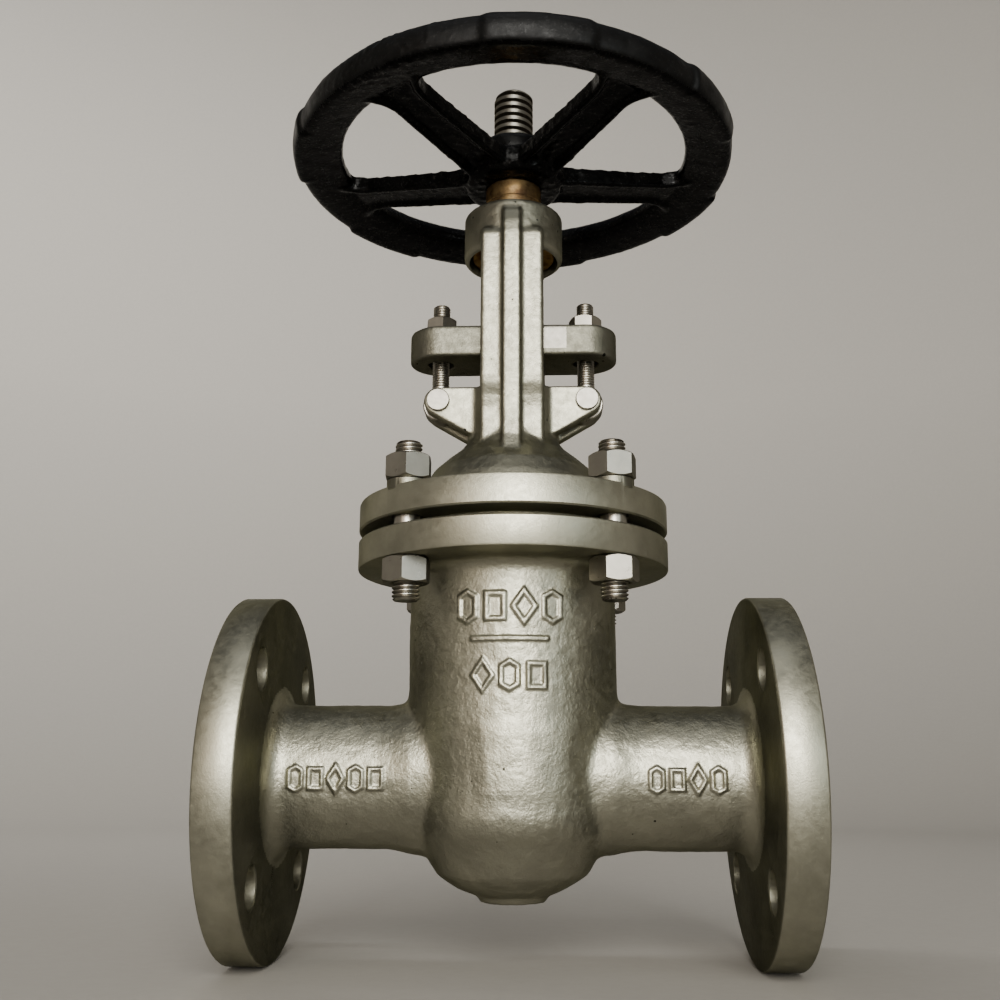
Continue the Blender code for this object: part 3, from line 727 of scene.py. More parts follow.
def make_body():
    core = cast("valve_body_casting", body_core(), sizes().body_grid, 4)

    def near_joint(position):
        x, y, z = (abs(position.x), position.y, position.z)
        from_barrel = math.hypot(x, y) - mm(BARREL_R)
        from_neck = math.hypot(y, z) - mm(NECK_R)
        return mm(-9) < from_barrel < mm(12) and abs(from_neck) < mm(12) and x > mm(14) and z < mm(60)

    soften(core, 12, near_joint)

    def skin(position, offset):
        edge = held((mm(99) - abs(position.x)) / mm(8))
        top = held((mm(86) - position.z) / mm(6))
        depth = sizes().peel_depth * edge * top
        return (lumpy(position, offset, 3.6, depth) + lumpy(position, offset, 8.0, depth * 1.1)
                + lumpy(position, offset, 34.0, depth * 2.6) + dressed_patch(position))

    add_marks(core)
    roughen(core, skin, 3.1)

    discs = []
    low, high = BODY_FLANGE
    for side in (-1, 1):
        outline = [(0, HALF_LENGTH), (RAISED_R - 0.4, HALF_LENGTH), (RAISED_R, HALF_LENGTH - 0.4),
                   (RAISED_R, RIM_X + 0.3), (RAISED_R + 0.3, RIM_X), (FLANGE_R - 1.2, RIM_X),
                   (FLANGE_R - 0.5, RIM_X - 0.3), (FLANGE_R, RIM_X - 1.0), (FLANGE_R, BACK_X + 1.2),
                   (FLANGE_R - 0.4, BACK_X + 0.4), (FLANGE_R - 1.2, BACK_X), (0, BACK_X)]
        disc = turn(spun("pipe_flange", outline, False, 160), 90, "Y")
        discs.append(on_side(disc, side))
    rim = [(0, high + 1.2), (LAND_R - 0.3, high + 1.2), (LAND_R, high + 0.9), (LAND_R, high),
           (BONNET_FLANGE_R - 0.7, high), (BONNET_FLANGE_R, high - 0.7), (BONNET_FLANGE_R, low + 1.0),
           (BONNET_FLANGE_R - 0.3, low + 0.3), (BONNET_FLANGE_R - 1.0, low), (0, low)]
    discs.append(spun("body_flange", rim, False, 160))
    boolean(core, discs, "UNION")

    cavity = [(0, 112), (40, 112), (40, -12)] + arc((22, -12), 18, -15, -60, 5) + [(18, -41.5), (0, -44)]
    boolean(core, [spun("cavity", cavity)], "DIFFERENCE")
    bosses = turn(round_bar("seat_bosses", 33.5, -43, 43), 90, "Y")
    for side in (-1, 1):
        gap = turn(round_bar("wedge_gap", 38, -12, SEAT_FACE + 2), 90, "Y")
        boolean(bosses, [place(gap, seat_frame(side))], "DIFFERENCE")
    boolean(core, [bosses], "UNION")
    guides = [block("guide", (-2.5, near, -20), (2.5, near + 14, 100)) for near in (-41.5, 27.5)]
    boolean(core, guides, "UNION")
    for side in (-1, 1):
        pocket = turn(round_bar("pocket", 30.3, 5, SEAT_BACK + 0.3), 90, "Y")
        boolean(core, [place(pocket, seat_frame(side))], "DIFFERENCE")
    boolean(core, [turn(round_bar("bore", BORE_R, -130, 130), 90, "Y")], "DIFFERENCE")

    holes = []
    for side in (-1, 1):
        for i in range(4):
            angle = math.radians(45 + 90 * i)
            hole = turn(drill("bolt_hole", BOLT_HOLE_R, 100, 127, 0.5, (BACK_X, RIM_X)), 90, "Y")
            shift(hole, 0, BOLT_CIRCLE_R * math.cos(angle), BOLT_CIRCLE_R * math.sin(angle))
            holes.append(on_side(hole, side))
    for _, x, y in CORNERS:
        holes.append(at_stud(drill("stud_hole", STUD_HOLE_R, low - 4, high + 4, 0.4, (low, high)), x, y))
    boolean(core, holes, "DIFFERENCE")

    def pick(centre, normal):
        x, y, z = (c * 1000 for c in centre)
        if abs(x) > RIM_X + 0.5 and abs(normal.x) > 0.9:
            return 2
        # the backs of the pipe flanges take the darker casting: painted shade
        if abs(x) < BACK_X + 0.4 and abs(x) > BACK_X - 0.4 and math.hypot(y, z) > NECK_R + 8:
            return 4
        if abs(x) > BACK_X - 0.5 and math.hypot(y, z) > NECK_R + 10 or z > BODY_FLANGE[0] - 0.2:
            return 1
        if math.hypot(y, z) < BORE_R + 0.1:
            return 3
        return 0

    materials = [blasted_casting(), flange_casting(), faced_steel(),
                 machined_steel("bored_stainless", 0.8, 0.34), scaled_casting()]
    dress(core, materials, "valve_body", pick, 40.0)
    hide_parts("body")


class VALVE_OT_body(bpy.types.Operator):
    """Make the cast body with its flanges, ports and seats"""
    bl_idname = "valve.body"
    bl_label = "Body and seats"

    def execute(self, context):
        make_body()
        for name, side in (("inlet", -1), ("outlet", 1)):
            outline = [(29.7, SEAT_BACK), (30, SEAT_BACK - 0.3), (30, SEAT_FACE + 0.5), (29.5, SEAT_FACE),
                       (25.6, SEAT_FACE), (25.2, SEAT_FACE + 0.4), (25.2, SEAT_BACK)]
            seat = place(turn(spun("seat_" + name, outline, True), 90, "Y"), seat_frame(side))
            dress(seat, [lapped_steel()], "valve_body")
            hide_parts("seat_ring_" + name)
        return {"FINISHED"}


# ---------------------------------------------------------------- bonnet and yoke
def yoke_shapes(side):
    """One arm in its (Y, Z) plane: the flange that faces the stem and the rib outside it."""
    flange = [(16.5, 149), (21.4, 149), (20.8, 158), (21.0, 168), (22.4, 174), (24.4, 179), (25, 183),
              (25, 255.5), (23, 259.5), (17, 259.5), (17, 185), (16.5, 180.5)]
    rib = [(18.5, 148), (33, 144), (30.2, 152), (29.2, 163), (29, 176), (29, 254), (28.3, 260.5),
           (26.2, 266.5), (23.5, 270.5), (20, 270), (20, 190)]
    upright = Matrix.Rotation(math.radians(90), 4, "Z") @ Matrix.Rotation(math.radians(90), 4, "X")
    shapes = []
    for outline, width, edge in ((flange, 30.0, 1.6), (rib, 8.6, 0.9)):
        shape = place(plate("arm", outline, width, edge), upright)
        shapes.append(on_side(shape, side))
    return shapes


def eye_lug(side, cheek):
    tip = arc((EYE_X, EYE_Z), 7.0, 90, -55, 12)
    lug = plate("eye_lug", [(17.5, 181.5)] + tip + [(20.5, 157.5), (17.5, 157.5)], 6.7, 0.5)
    turn(lug, 90, "X")
    shift(lug, 0, cheek * 8.65, 0)
    return on_side(lug, side)


def make_bonnet():
    low, high = BONNET_FLANGE
    dome = [(0, 181.4), (20.6, 181.4), (21.5, 180.6), (21.5, 158), (22.6, 154.5), (25.8, 150.5),
            (32, 145.5), (38, 140), (42.5, 133), (45, 126.8), (48, high + 0.1), (53, high + 0.1),
            (53, high - 3), (0, high - 3)]
    shapes = [spun("dome", dome)]
    shapes.append(round_bar("hub", 24.5, HUB_Z[0], HUB_Z[1], 1.4))
    for side in (-1, 1):
        shapes += yoke_shapes(side)
        shapes += [eye_lug(side, -1), eye_lug(side, 1)]
    core = cast("bonnet_and_yoke_casting", shapes, sizes().yoke_grid, 3)

    def skin(position, offset):
        low_edge = held((position.z - mm(125)) / mm(4))
        depth = sizes().peel_depth * 0.55 * low_edge
        flat = 0.35 if abs(position.x) > mm(24) and position.z < mm(190) else 1.0
        return flat * (lumpy(position, offset, 3.6, depth) + lumpy(position, offset, 16.0, depth * 1.8))

    roughen(core, skin, 7.7)
    rim = [(0, high), (BONNET_FLANGE_R - 1.0, high), (BONNET_FLANGE_R - 0.3, high - 0.3),
           (BONNET_FLANGE_R, high - 1.0), (BONNET_FLANGE_R, low + 0.7), (BONNET_FLANGE_R - 0.7, low),
           (LAND_R, low), (LAND_R, low - 0.9), (LAND_R - 0.3, low - 1.2), (0, low - 1.2)]
    boolean(core, [spun("bonnet_flange", rim, False, 160)], "UNION")
    pads = [at_stud(round_bar("pad", 9.4, high - 2, high + PAD_RISE, 0.3, 64), x, y) for _, x, y in CORNERS]
    boolean(core, pads, "UNION")

    hollow = [(0, 190), (16.8, 190), (16.8, 181.3), (16, 180.5), (16, 141), (11, 141), (11, 137),
              (15.3, 137), (15.3, 130), (25, 130), (34, 123), (38, 113), (38, 105), (0, 105)]
    hub_bore = [(0, 280), (14.8, 280), (14.8, 274.6), (13.8, 273.2), (13.8, 260), (21.5, 260), (21.5, 250.8),
                (22.6, 249.4), (22.6, 245), (0, 245)]
    cuts = [spun("hollow", hollow), spun("hub_bore", hub_bore)]
    for side in (-1, 1):
        pin_hole = turn(drill("pin_hole", 4.3, -20, 20), 90, "X")
        cuts.append(shift(pin_hole, side * EYE_X, 0, EYE_Z))
    for _, x, y in CORNERS:
        cuts.append(at_stud(drill("stud_hole", STUD_HOLE_R, low - 4, high + 8), x, y))
    boolean(core, cuts, "DIFFERENCE")

    def pick(centre, normal):
        x, y, z = (c * 1000 for c in centre)
        if z < high + 0.2:
            return 1
        # the pads take the darker casting: painted shade under the nuts
        if z < high + PAD_RISE + 0.2 and math.hypot(x, y) > 51:
            return 3
        if abs(x) > 24 and z < 185:
            return 2
        return 0

    materials = [blasted_casting("blasted_yoke_casting", 0.60, 0.78, 1.8),
                 flange_casting(), blasted_casting("ground_lug_steel", 0.2, 0.85, 0.8, 0.42),
                 scaled_casting()]
    dress(core, materials, "valve_body", pick, 40.0)
    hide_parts("bonnet")


class VALVE_OT_bonnet(bpy.types.Operator):
    """Make the bonnet, the yoke's arms and hub and the eyebolt lugs as one casting"""
    bl_idname = "valve.bonnet"
    bl_label = "Bonnet and yoke"

    def execute(self, context):
        make_bonnet()
        return {"FINISHED"}


# ---------------------------------------------------------------- bolting
def hexagon_nut(name, flats, low, high, bore):
    """A hexagon nut about Z, turned to a cone at both ends and countersunk."""
    corner = flats / math.sqrt(3)
    bm = bmesh.new()
    bmesh.ops.create_cone(bm, segments=6, cap_ends=True, radius1=mm(corner), radius2=mm(corner),
                          depth=mm(high - low))
    bmesh.ops.translate(bm, verts=bm.verts, vec=(0, 0, mm(low + high) / 2))
    nut = to_object(name, bm)
    drop = (corner - flats / 2) * math.tan(math.radians(32)) + 0.15
    face = flats / 2 - 0.25
    outline = [(0, high), (face, high), (corner + 0.4, high - drop - 0.4), (corner + 0.4, low + drop + 0.4),
               (face, low), (0, low)]
    boolean(nut, [spun("cone", outline, False, 72)], "INTERSECT")
    return boolean(nut, [drill("bore", bore, low - 2, high + 2, 0.9, (low, high))], "DIFFERENCE")


def threaded_bar(name, radius, low, high, pitch, runs):
    """A round bar with coarse-cut metric threads over the given runs of its length."""
    depth = pitch * 0.56
    bar = round_bar(name, radius, low, high, depth, 48)
    for start, end in runs:
        cutter = groove_cutter(radius, depth, pitch, start, end, pitch * 0.12, pitch * 0.84)
        boolean(bar, [cutter], "DIFFERENCE")
    return bar


def root_picker(x, y, limit, foot=-1000.0):
    """Faces above foot and nearer the axis than limit are a thread's root."""
    def pick(centre, normal):
        near = math.hypot(centre.x - mm(x), centre.y - mm(y)) < mm(limit)
        return 1 if near and centre.z > mm(foot) and abs(normal.z) < 0.9 else 0
    return pick


STUD_NUT_TURNS = {"upper_front_left": 31.0, "upper_front_right": 15.5, "lower_front_left": 27.5,
                  "lower_front_right": 9.0, "upper_back_left": 17.0, "upper_back_right": 40.0,
                  "lower_back_left": 23.0, "lower_back_right": 8.0}


def make_bolting():
    steel = machined_steel()
    low, high = node_span("stud_front_left", 2)
    stud = threaded_bar("stud", 6.0, low, high, 1.75, ((low - 2, low + 27), (high - 27, high + 2)))
    nut_low, nut_high = node_span("nut_upper_front_left", 2)
    tall = nut_high - nut_low
    nut = hexagon_nut("stud_nut", 19.0, 0.0, tall, 6.25)
    for word, x, y in CORNERS:
        spot = (mm(x * STUD_PLACE), mm(y * STUD_PLACE), 0.0)
        spin = Matrix.Rotation(math.radians(37.0 * x + 61.0 * y), 4, "Z")
        piece = copy_piece(stud, "threaded_stud_" + word, Matrix.Translation(spot) @ spin)
        # the stud's thread roots take the painted shade
        dress(piece, [steel, greased_groove()], "valve_body",
              root_picker(x * STUD_PLACE, y * STUD_PLACE, 5.35), 30.0)
        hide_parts("stud_" + word)
        for level in ("lower", "upper"):
            node = f"nut_{level}_{word}"
            base = node_span(node, 2)[0]
            facing = Matrix.Rotation(math.radians(STUD_NUT_TURNS[f"{level}_{word}"] - 90.0), 4, "Z")
            lift = Matrix.Translation((spot[0], spot[1], mm(base)))
            piece = copy_piece(nut, f"hex_{node}", lift @ facing)
            dress(piece, [steel], "valve_body", None, 25.0)
            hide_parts(node)
    for spare in (stud, nut):
        bpy.data.objects.remove(spare, do_unlink=True)


class VALVE_OT_bolting(bpy.types.Operator):
    """Make the four studs of the bonnet joint and their eight nuts"""
    bl_idname = "valve.bolting"
    bl_label = "Studs and nuts"

    def execute(self, context):
        make_bolting()
        return {"FINISHED"}


# ---------------------------------------------------------------- gland
GLAND_NUT_TURNS = {"left": 39.5, "right": -9.0}


def make_gland():
    low, high = node_span("gland_flange", 2)
    half = node_span("gland_flange", 1)[1]
    end = node_span("gland_flange", 0)[1] - half
    outline = arc((end, 0), half, -90, 90, 24) + arc((-end, 0), half, 90, 270, 24)
    slab = shift(plate("slab", outline, high - low, 1.1), 0, 0, (low + high) / 2)
    flange = cast("gland_flange_casting", [slab], mm(0.75), 3)

    def skin(position, offset):
        return lumpy(position, offset, 3.4, sizes().peel_depth * 0.35)

    roughen(flange, skin, 1.9)
    cuts = [drill("stem_hole", 10.7, low - 5, high + 5, 0.8, (low, high))]
    for side in (-1, 1):
        hole = drill("eye_hole", 6.3, low - 5, high + 5, 0.6, (low, high))
        cuts.append(shift(hole, side * EYE_X, 0))
    boolean(flange, cuts, "DIFFERENCE")

    def pick(centre, normal):
        x, y, z = (c * 1000 for c in centre)
        return 1 if 14 < x < 26 and y < -half + 0.8 and low + 3 < z < high - 1.2 else 0

    dress(flange, [blasted_casting("blasted_gland_casting", 0.8, 0.45, 2.4, 0.48),
                   machined_steel("ground_patch_steel", 0.68, 0.42)], "gland", pick, 40.0)
    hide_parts("gland_flange")

    bush_low, bush_high = node_span("gland_bush", 2)
    outline = [(15.2, bush_high), (15.5, bush_high - 0.3), (15.5, bush_low + 0.8), (14.7, bush_low),
               (10.9, bush_low), (10.4, bush_low + 0.5), (10.4, bush_high)]
    bush = spun("gland_follower", outline, True)
    dress(bush, [machined_steel("turned_bush_steel", 0.9, 0.3)], "gland")
    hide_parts("gland_bush")

    for word, side in SIDES:
        make_eyebolt(word, side)


def make_eyebolt(word, side):
    x = side * EYE_X
    top = node_span("eyebolt_" + word, 2)[1]
    bolt = threaded_bar("swing_eyebolt_" + word, 4.2, EYE_Z + 5, top, 1.25, ((184.0, top + 2),))
    eye = turn(round_bar("eye", 8.0, -4.8, 4.8, 0.6), 90, "X")
    boolean(bolt, [shift(eye, 0, 0, EYE_Z)], "UNION")
    hole = turn(drill("hole", 4.3, -10, 10), 90, "X")
    boolean(bolt, [shift(hole, 0, 0, EYE_Z)], "DIFFERENCE")
    shift(bolt, x)
    # the eyebolt's thread roots take the painted shade
    dress(bolt, [machined_steel(), greased_groove()], "valve_body",
          root_picker(x, 0, 3.6, 183.5), 30.0)
    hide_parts("eyebolt_" + word)

    face = 12.3
    outline = [(0, face + 1.5), (5.1, face + 1.5), (5.5, face + 1.1), (5.5, face), (4, face), (4, -face),
               (5.5, -face), (5.5, -face - 1.1), (5.1, -face - 1.5), (0, -face - 1.5)]
    pin = shift(turn(spun("clevis_pin_" + word, outline), 90, "X"), x, 0, EYE_Z)
    dress(pin, [machined_steel("faced_pin_steel", 0.92, 0.44)], "valve_body")
    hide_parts("eyebolt_pin_" + word)

    base, top = node_span("gland_nut_" + word, 2)
    nut = hexagon_nut("gland_hex_nut_" + word, 14.0, 0.0, top - base, 4.35)
    turn(nut, GLAND_NUT_TURNS[word] - 90.0)
    shift(nut, x, 0, base)
    dress(nut, [machined_steel()], "gland_nut_" + word, None, 25.0)
    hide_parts("gland_nut_" + word)


class VALVE_OT_gland(bpy.types.Operator):
    """Make the gland flange and follower, the eyebolts, their pins and nuts"""
    bl_idname = "valve.gland"
    bl_label = "Gland"

    def execute(self, context):
        make_gland()
        return {"FINISHED"}


# ---------------------------------------------------------------- stem and wedge
def make_stem():
    top = node_span("stem", 2)[1]
    shoulder = 73.0
    outline = [(0, top), (8.2, top), (10, top - 1.8), (10, shoulder), (13.5, shoulder - 3.5),
               (13.5, shoulder - 7.5), (10, shoulder - 11), (10, 49), (6, 46.8), (6, 39.2), (0, 39.2)]
    stem = spun("threaded_stem", outline, False, 64)
    pitch = sizes().stem_pitch * 1000
    cutter = groove_cutter(10.0, 2.25, pitch, 196.0, top + 4, pitch * 0.34, pitch * 0.54, True, 48)
    boolean(stem, [cutter], "DIFFERENCE")
    boolean(stem, [block("head", (-9, -9, 33.4), (9, 9, 40.2), 0.6)], "UNION")

    def pick(centre, normal):
        near = math.hypot(centre.x, centre.y) < mm(9.6)
        return 1 if near and mm(195) < centre.z < mm(top - 0.5) else 0

    # the stem's thread roots take the painted shade
    dress(stem, [machined_steel("turned_stem_steel", 0.58, 0.34), greased_groove()], "stem",
          pick, 30.0)
    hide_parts("stem")


def make_wedge():
    wedge = turn(round_bar("gate_wedge", 30.0, -20, 20), 90, "Y")
    boolean(wedge, [block("lug", (-11.5, -14, 20), (11.5, 14, 46), 1.2)], "UNION")
    for side in (-1, 1):
        slab = block("slab", (10.0 * math.cos(math.radians(WEDGE_ANGLE)), -50, -50), (50, 50, 50))
        boolean(wedge, [place(slab, seat_frame(side))], "DIFFERENCE")
        reach = sorted((side * 26.5, side * 40.0))
        boolean(wedge, [block("groove", (-3.3, reach[0], -50), (3.3, reach[1], 50))], "DIFFERENCE")
    boolean(wedge, [block("head_slot", (-20, -9.8, 33), (20, 9.8, 40.6))], "DIFFERENCE")
    boolean(wedge, [block("neck_slot", (-20, -6.6, 33.4), (20, 6.6, 56))], "DIFFERENCE")
    dress(wedge, [lapped_steel()], "stem")
    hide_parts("wedge")


class VALVE_OT_stem(bpy.types.Operator):
    """Make the threaded stem and the wedge that it lifts"""
    bl_idname = "valve.stem"
    bl_label = "Stem and wedge"

    def execute(self, context):
        make_stem()
        make_wedge()
        return {"FINISHED"}


# ---------------------------------------------------------------- stem nut and handwheel
GRIPS = 6
GRIP_FIRST = -82.5          # degrees from +X
GRIP_STEP = 54.7
GRIP_HALF = 12.6
GRIP_RISE = 1.6
# (out from WHEEL_R, up from WHEEL_Z), from the outer band's lower edge round over the top
RIM_SECTION = ((8.2, -8.3), (9.4, -7.4), (10.0, -5.0), (10.4, -1.5), (10.2, 1.8), (9.2, 4.8), (7.0, 7.2),
               (3.5, 8.7), (-1.0, 9.0), (-5.8, 8.5), (-9.4, 7.2), (-12.0, 5.2), (-13.6, 2.8),
               (-14.4, 0.6), (-14.6, -1.6), (-13.8, -3.2), (-11.6, -4.6), (-6.5, -6.0), (-1.0, -7.1),
               (4.0, -8.1), (6.4, -8.5))


def make_rim():
    section = [(mm(WHEEL_R + out), mm(WHEEL_Z + up)) for out, up in RIM_SECTION]
    bm = spun_mesh(section, 360, True)
    for vert in bm.verts:
        angle = math.degrees(math.atan2(vert.co.y, vert.co.x))
        away = min(abs((angle - GRIP_FIRST - GRIP_STEP * i + 180) % 360 - 180) for i in range(GRIPS))
        raised = held((GRIP_HALF - away) / 0.6 + 0.5)
        reach = math.hypot(vert.co.x, vert.co.y) - mm(WHEEL_R)
        outer = held((reach - mm(2.0)) / mm(5.0))
        push = mm(GRIP_RISE) * (raised - 1.0) * outer
        direction = Vector((vert.co.x, vert.co.y, 0.0)).normalized()
        vert.co += direction * push
        vert.co.z -= push * 0.5 if vert.co.z < mm(WHEEL_Z) else 0.0
    return to_object("rim", bm)


def make_spoke(degrees):
    """A spoke with a shallow channel along its top and its underside."""
    section = [(-1.0, -0.42), (-1.0, 0.5), (-0.68, 0.5), (-0.60, 0.30), (0.60, 0.30), (0.68, 0.5),
               (1.0, 0.5), (1.0, -0.42), (0.90, -0.5), (0.74, -0.5), (0.62, -0.24), (-0.62, -0.24),
               (-0.74, -0.5), (-0.90, -0.5)]
    # distance from the axis, half width, thickness and height of the middle
    stations = [(20.0, 11.6, 9.4, 297.2), (30.0, 11.0, 9.0, 298.2), (60.0, 10.3, 8.6, 301.8),
                (78.0, 10.0, 8.6, 304.2), (84.0, 11.6, 9.0, 304.8), (89.0, 15.0, 9.2, 305.4),
                (94.0, 20.0, 9.2, 305.8)]
    bm = bmesh.new()
    loops = []
    for reach, half_width, thick, level in stations:
        verts = [bm.verts.new((mm(reach), mm(u * half_width), mm(level + v * thick))) for u, v in section]
        loops.append([bm.edges.new((verts[i - 1], verts[i])) for i in range(len(verts))])
    for first, second in zip(loops, loops[1:]):
        bmesh.ops.bridge_loops(bm, edges=first + second)
    bmesh.ops.holes_fill(bm, edges=[e for e in bm.edges if e.is_boundary])
    bmesh.ops.recalc_face_normals(bm, faces=bm.faces)
    return turn(to_object("spoke", bm), degrees)


def make_handwheel():
    low, high = 290.3, 304.0
    hub = [(0, high), (21, high), (24, high - 1.2), (25, high - 3.4), (25.4, 296), (24.4, low + 1.5),
           (22.5, low), (0, low)]
    shapes = [make_rim(), spun("wheel_hub", hub)]
    shapes += [make_spoke(90 + 72 * i) for i in range(5)]
    wheel = cast("enamelled_handwheel", shapes, sizes().wheel_grid, 2)

    def skin(position, offset):
        reach = math.hypot(position.x, position.y)
        rise = lumpy(position, offset, 11.0, mm(0.16)) + lumpy(position, offset, 4.5, mm(0.08))
        if reach < mm(90):
            near_hub = held((mm(58) - reach) / mm(26))
            drips = max(0.0, lumpy(position, offset, 3.4, 1.0) + 0.05)
            rise += drips * mm(0.55) * near_hub + drips * mm(0.18)
        else:
            around = math.degrees(math.atan2(position.y, position.x))
            bare = max(0.0, 1.0 - abs(around + 120.0) / 26.0)
            patch = max(bare, 2.2 * max(0.0, lumpy(position, offset, 30.0, 1.0) - 0.10))
            rise += max(0.0, lumpy(position, offset, 3.0, 1.0)) * min(1.0, patch) * mm(0.7)
        return rise

    roughen(wheel, skin, 5.3)
    bore = spun("wheel_bore", [(0, 320), (14, 320), (14, high + 0.4), (13.3, high - 0.5), (13.3, 291.2),
                               (14.4, 289.6), (14.4, 285), (0, 285)])
    boolean(wheel, [bore], "DIFFERENCE")
    boolean(wheel, [block("keyway", (8, -2.3, 291.2), (15.1, 2.3, high + 2))], "DIFFERENCE")

    def pick(centre, normal):
        reach = math.hypot(centre.x, centre.y)
        outward = (normal.x * centre.x + normal.y * centre.y) / max(reach, 1e-6)
        return 1 if reach > mm(WHEEL_R + 4) and outward > 0.5 else 0

    dress(wheel, [black_enamel(), black_enamel("worn_black_enamel", 0.36, 0.55, 0.5, 0.15)], "handwheel",
          pick, 60.0)
    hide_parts("handwheel")


def make_wheel_nut():
    low, high = node_span("wheel_nut", 2)
    outline = [(13.6, high), (15.6, high), (17.4, high - 0.8), (18.5, high - 2.4), (18.8, high - 4.0),
               (18.8, low + 0.8), (18.0, low), (13.3, low), (13.3, high - 0.4)]
    nut = spun("round_lock_nut", outline, True)
    notches = []
    for i in range(4):
        notch = block("notch", (16.6, -2.4, low - 1), (20, 2.4, low + 5.2), 0.3)
        notches.append(turn(notch, 45 + 90 * i))
    boolean(nut, notches, "DIFFERENCE")
    enamel = black_enamel("nut_black_enamel", 0.18, 0.42, 0.35, 0.12)
    dress(nut, [enamel], "handwheel", None, 30.0)
    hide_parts("wheel_nut")


def make_stem_nut():
    outline = [(12.4, 314), (13, 313.4), (13, 290.0), (13.6, 290.0), (14, 289.5), (14, 282), (13.7, 281.6),
               (13.7, 281.1), (14, 280.7), (14, 274.8), (13.6, 274.3), (13.5, 274.3), (13.5, 259.7),
               (20.2, 259.7), (20.5, 259.4), (20.5, 253), (20, 252.5), (11, 252.5), (10.3, 253.2),
               (10.3, 313.3), (11, 314)]
    nut = spun("bronze_stem_nut", outline, True)
    dress(nut, [turned_bronze()], "handwheel")
    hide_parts("stem_nut")
    key = block("wheel_key_steel", (11.5, -2, 291.5), (14.8, 2, 302.5), 0.3)
    dress(key, [machined_steel()], "handwheel")
    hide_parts("wheel_key")


class VALVE_OT_wheel(bpy.types.Operator):
    """Make the handwheel, its lock nut and the bronze stem nut"""
    bl_idname = "valve.wheel"
    bl_label = "Handwheel and stem nut"

    def execute(self, context):
        make_handwheel()
        make_wheel_nut()
        make_stem_nut()
        return {"FINISHED"}


# ---------------------------------------------------------------- nodes kept from the frame
class VALVE_OT_seals(bpy.types.Operator):
    """Give the packing, gasket and back seat their materials"""
    bl_idname = "valve.seals"
    bl_label = "Seals"

    def execute(self, context):
        graphite = pressed_graphite()
        steel = machined_steel()
        kept = {"bonnet_gasket": graphite, "backseat_bush": steel}
        kept.update({f"packing_ring_{i}": graphite for i in range(1, 6)})
        for node, material in kept.items():
            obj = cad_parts[node]
            for item in obj.material_slots:
                item.material = material
        return {"FINISHED"}


# ---------------------------------------------------------------- stage
CAMERA_PLACE = (15.5, -518.7, 1.7)
CAMERA_PITCH = 13.70
CAMERA_YAW = 2.40
CAMERA_ROLL = -0.24
CAMERA_LENS = 40.32


def make_camera():
    data = bpy.data.cameras.new("camera")
    data.lens = CAMERA_LENS
    data.sensor_width = 36.0
    data.clip_start = 0.01
    camera = in_scene("camera", data)
    heading = Matrix.Rotation(math.radians(CAMERA_YAW), 4, "Z")
    tilt = Matrix.Rotation(math.radians(90 + CAMERA_PITCH), 4, "X")
    roll = Matrix.Rotation(math.radians(-CAMERA_ROLL), 4, "Z")
    camera.matrix_world = Matrix.Translation([mm(c) for c in CAMERA_PLACE]) @ heading @ tilt @ roll
    bpy.context.scene.camera = camera


def area_light(name, size, power, place_at, aim, colour):
    data = bpy.data.lights.new(name, "AREA")
    data.shape = "RECTANGLE"
    data.size, data.size_y = size
    data.energy = power
    data.color = colour
    light = in_scene(name, data)
    light.location = place_at
    light.rotation_euler = (Vector(aim) - Vector(place_at)).to_track_quat("-Z", "Y").to_euler()
    return light


def make_backdrop():
    """A floor that turns up into a round wall, open at the top."""
    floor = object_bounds()[0][2] - mm(0.2)
    reach, bend, top = 2.2, 0.9, 2.6
    outline = [(0.0, floor), (reach - bend, floor)]
    outline += arc((reach - bend, floor + bend), bend, -90, 0, 24)[1:]
    outline += [(reach, floor + top)]
    bm = bmesh.new()
    verts = [bm.verts.new((r, 0.0, z)) for r, z in outline]
    edges = [bm.edges.new(pair) for pair in zip(verts, verts[1:])]
    bmesh.ops.spin(bm, geom=verts + edges, cent=(0, 0, 0), axis=(0, 0, 1), angle=math.tau, steps=128,
                   use_merge=True)
    bmesh.ops.remove_doubles(bm, verts=bm.verts, dist=1e-5)
    backdrop = to_object("backdrop", bm)
    backdrop.data.materials.append(pale_backdrop())
    backdrop.data.shade_smooth()
    backdrop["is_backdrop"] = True


def make_world():
    world = bpy.data.worlds.new("studio")
    bpy.context.scene.world = world
    world.use_nodes = True
    back = world.node_tree.nodes["Background"]
    back.inputs["Color"].default_value = (*rgb("#D9DCE0"), 1.0)
    back.inputs["Strength"].default_value = 0.15


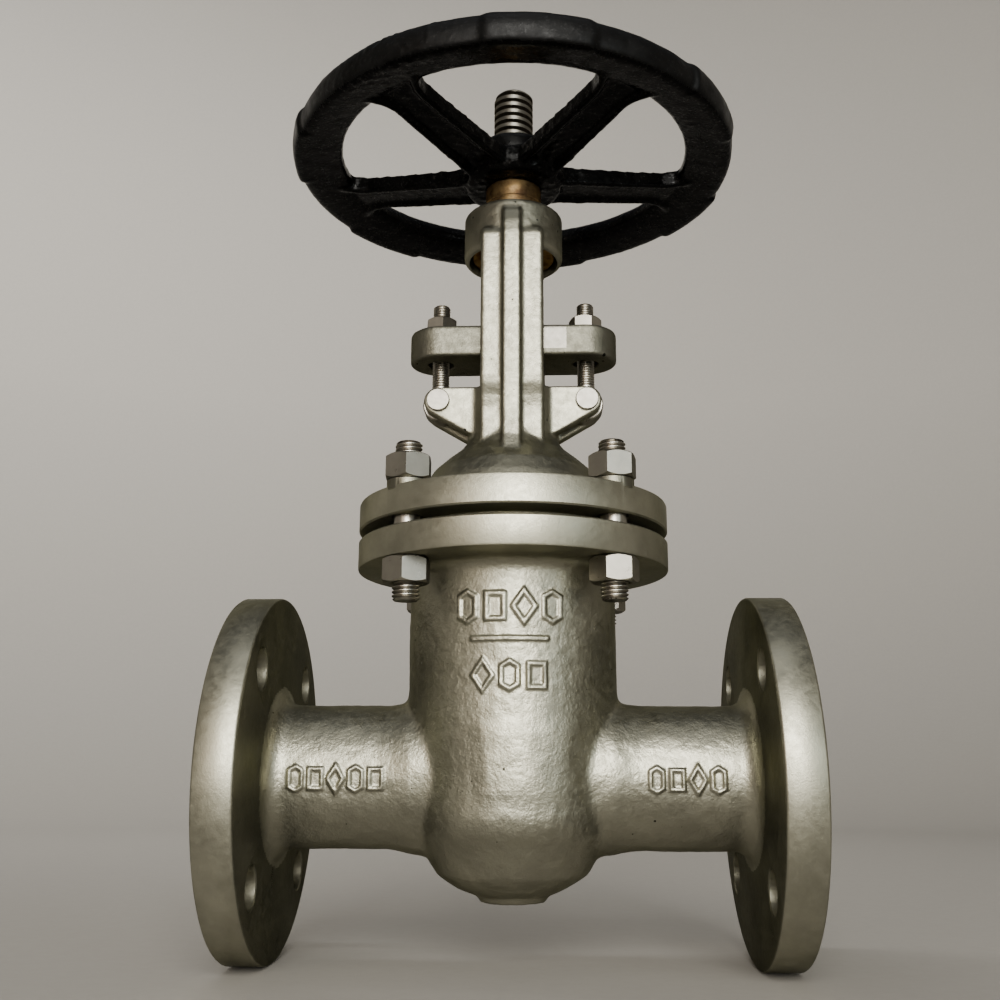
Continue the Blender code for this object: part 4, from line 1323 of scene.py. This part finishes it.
class VALVE_OT_stage(bpy.types.Operator):
    """Make the floor, the lights and the camera"""
    bl_idname = "valve.stage"
    bl_label = "Stage"

    def execute(self, context):
        make_camera()
        make_backdrop()
        make_world()
        aim = (0.0, 0.0, 0.12)
        area_light("key", (0.9, 1.25), 52.0, (0.12, -1.70, 0.60), aim, (1.0, 0.975, 0.915))
        area_light("warm_fill", (0.70, 1.0), 6.4, (-0.74, -1.54, 0.40), aim, rgb("#E4D2C2"))
        area_light("cool_fill", (0.60, 0.9), 5.0, (1.08, -1.30, 0.40), aim, rgb("#D8E2E2"))
        area_light("overhead", (1.4, 0.8), 2.5, (0.0, -0.55, 1.9), aim, (1.0, 1.0, 1.0))
        wall = area_light("wall", (1.2, 0.6), 33.0, (-0.75, 0.35, 1.5), (-0.55, 2.2, 0.75), (1.0, 0.99, 0.97))
        wall.visible_glossy = False
        return {"FINISHED"}


# ---------------------------------------------------------------- add-on
STEPS = (VALVE_OT_stage, VALVE_OT_body, VALVE_OT_bonnet, VALVE_OT_bolting, VALVE_OT_gland, VALVE_OT_stem,
         VALVE_OT_wheel, VALVE_OT_seals)


class VALVE_PT_panel(bpy.types.Panel):
    """Lists the steps that build the valve"""
    bl_idname = "VALVE_PT_panel"
    bl_label = "Gate valve"
    bl_space_type = "VIEW_3D"
    bl_region_type = "UI"
    bl_category = "Valve"

    def draw(self, context):
        for step in STEPS:
            self.layout.operator(step.bl_idname)


CLASSES = (ValveSizes, ValveFinish) + STEPS + (VALVE_PT_panel,)


def register():
    for item in CLASSES:
        bpy.utils.register_class(item)
    bpy.types.Scene.valve_sizes = PointerProperty(type=ValveSizes)
    bpy.types.Scene.valve_finish = PointerProperty(type=ValveFinish)


def unregister():
    del bpy.types.Scene.valve_finish
    del bpy.types.Scene.valve_sizes
    for item in reversed(CLASSES):
        bpy.utils.unregister_class(item)


def main():
    register()
    bpy.ops.valve.stage()
    bpy.ops.valve.body()
    bpy.ops.valve.bonnet()
    bpy.ops.valve.bolting()
    bpy.ops.valve.gland()
    bpy.ops.valve.stem()
    bpy.ops.valve.wheel()
    bpy.ops.valve.seals()


if __name__ == "__main__":
    main()
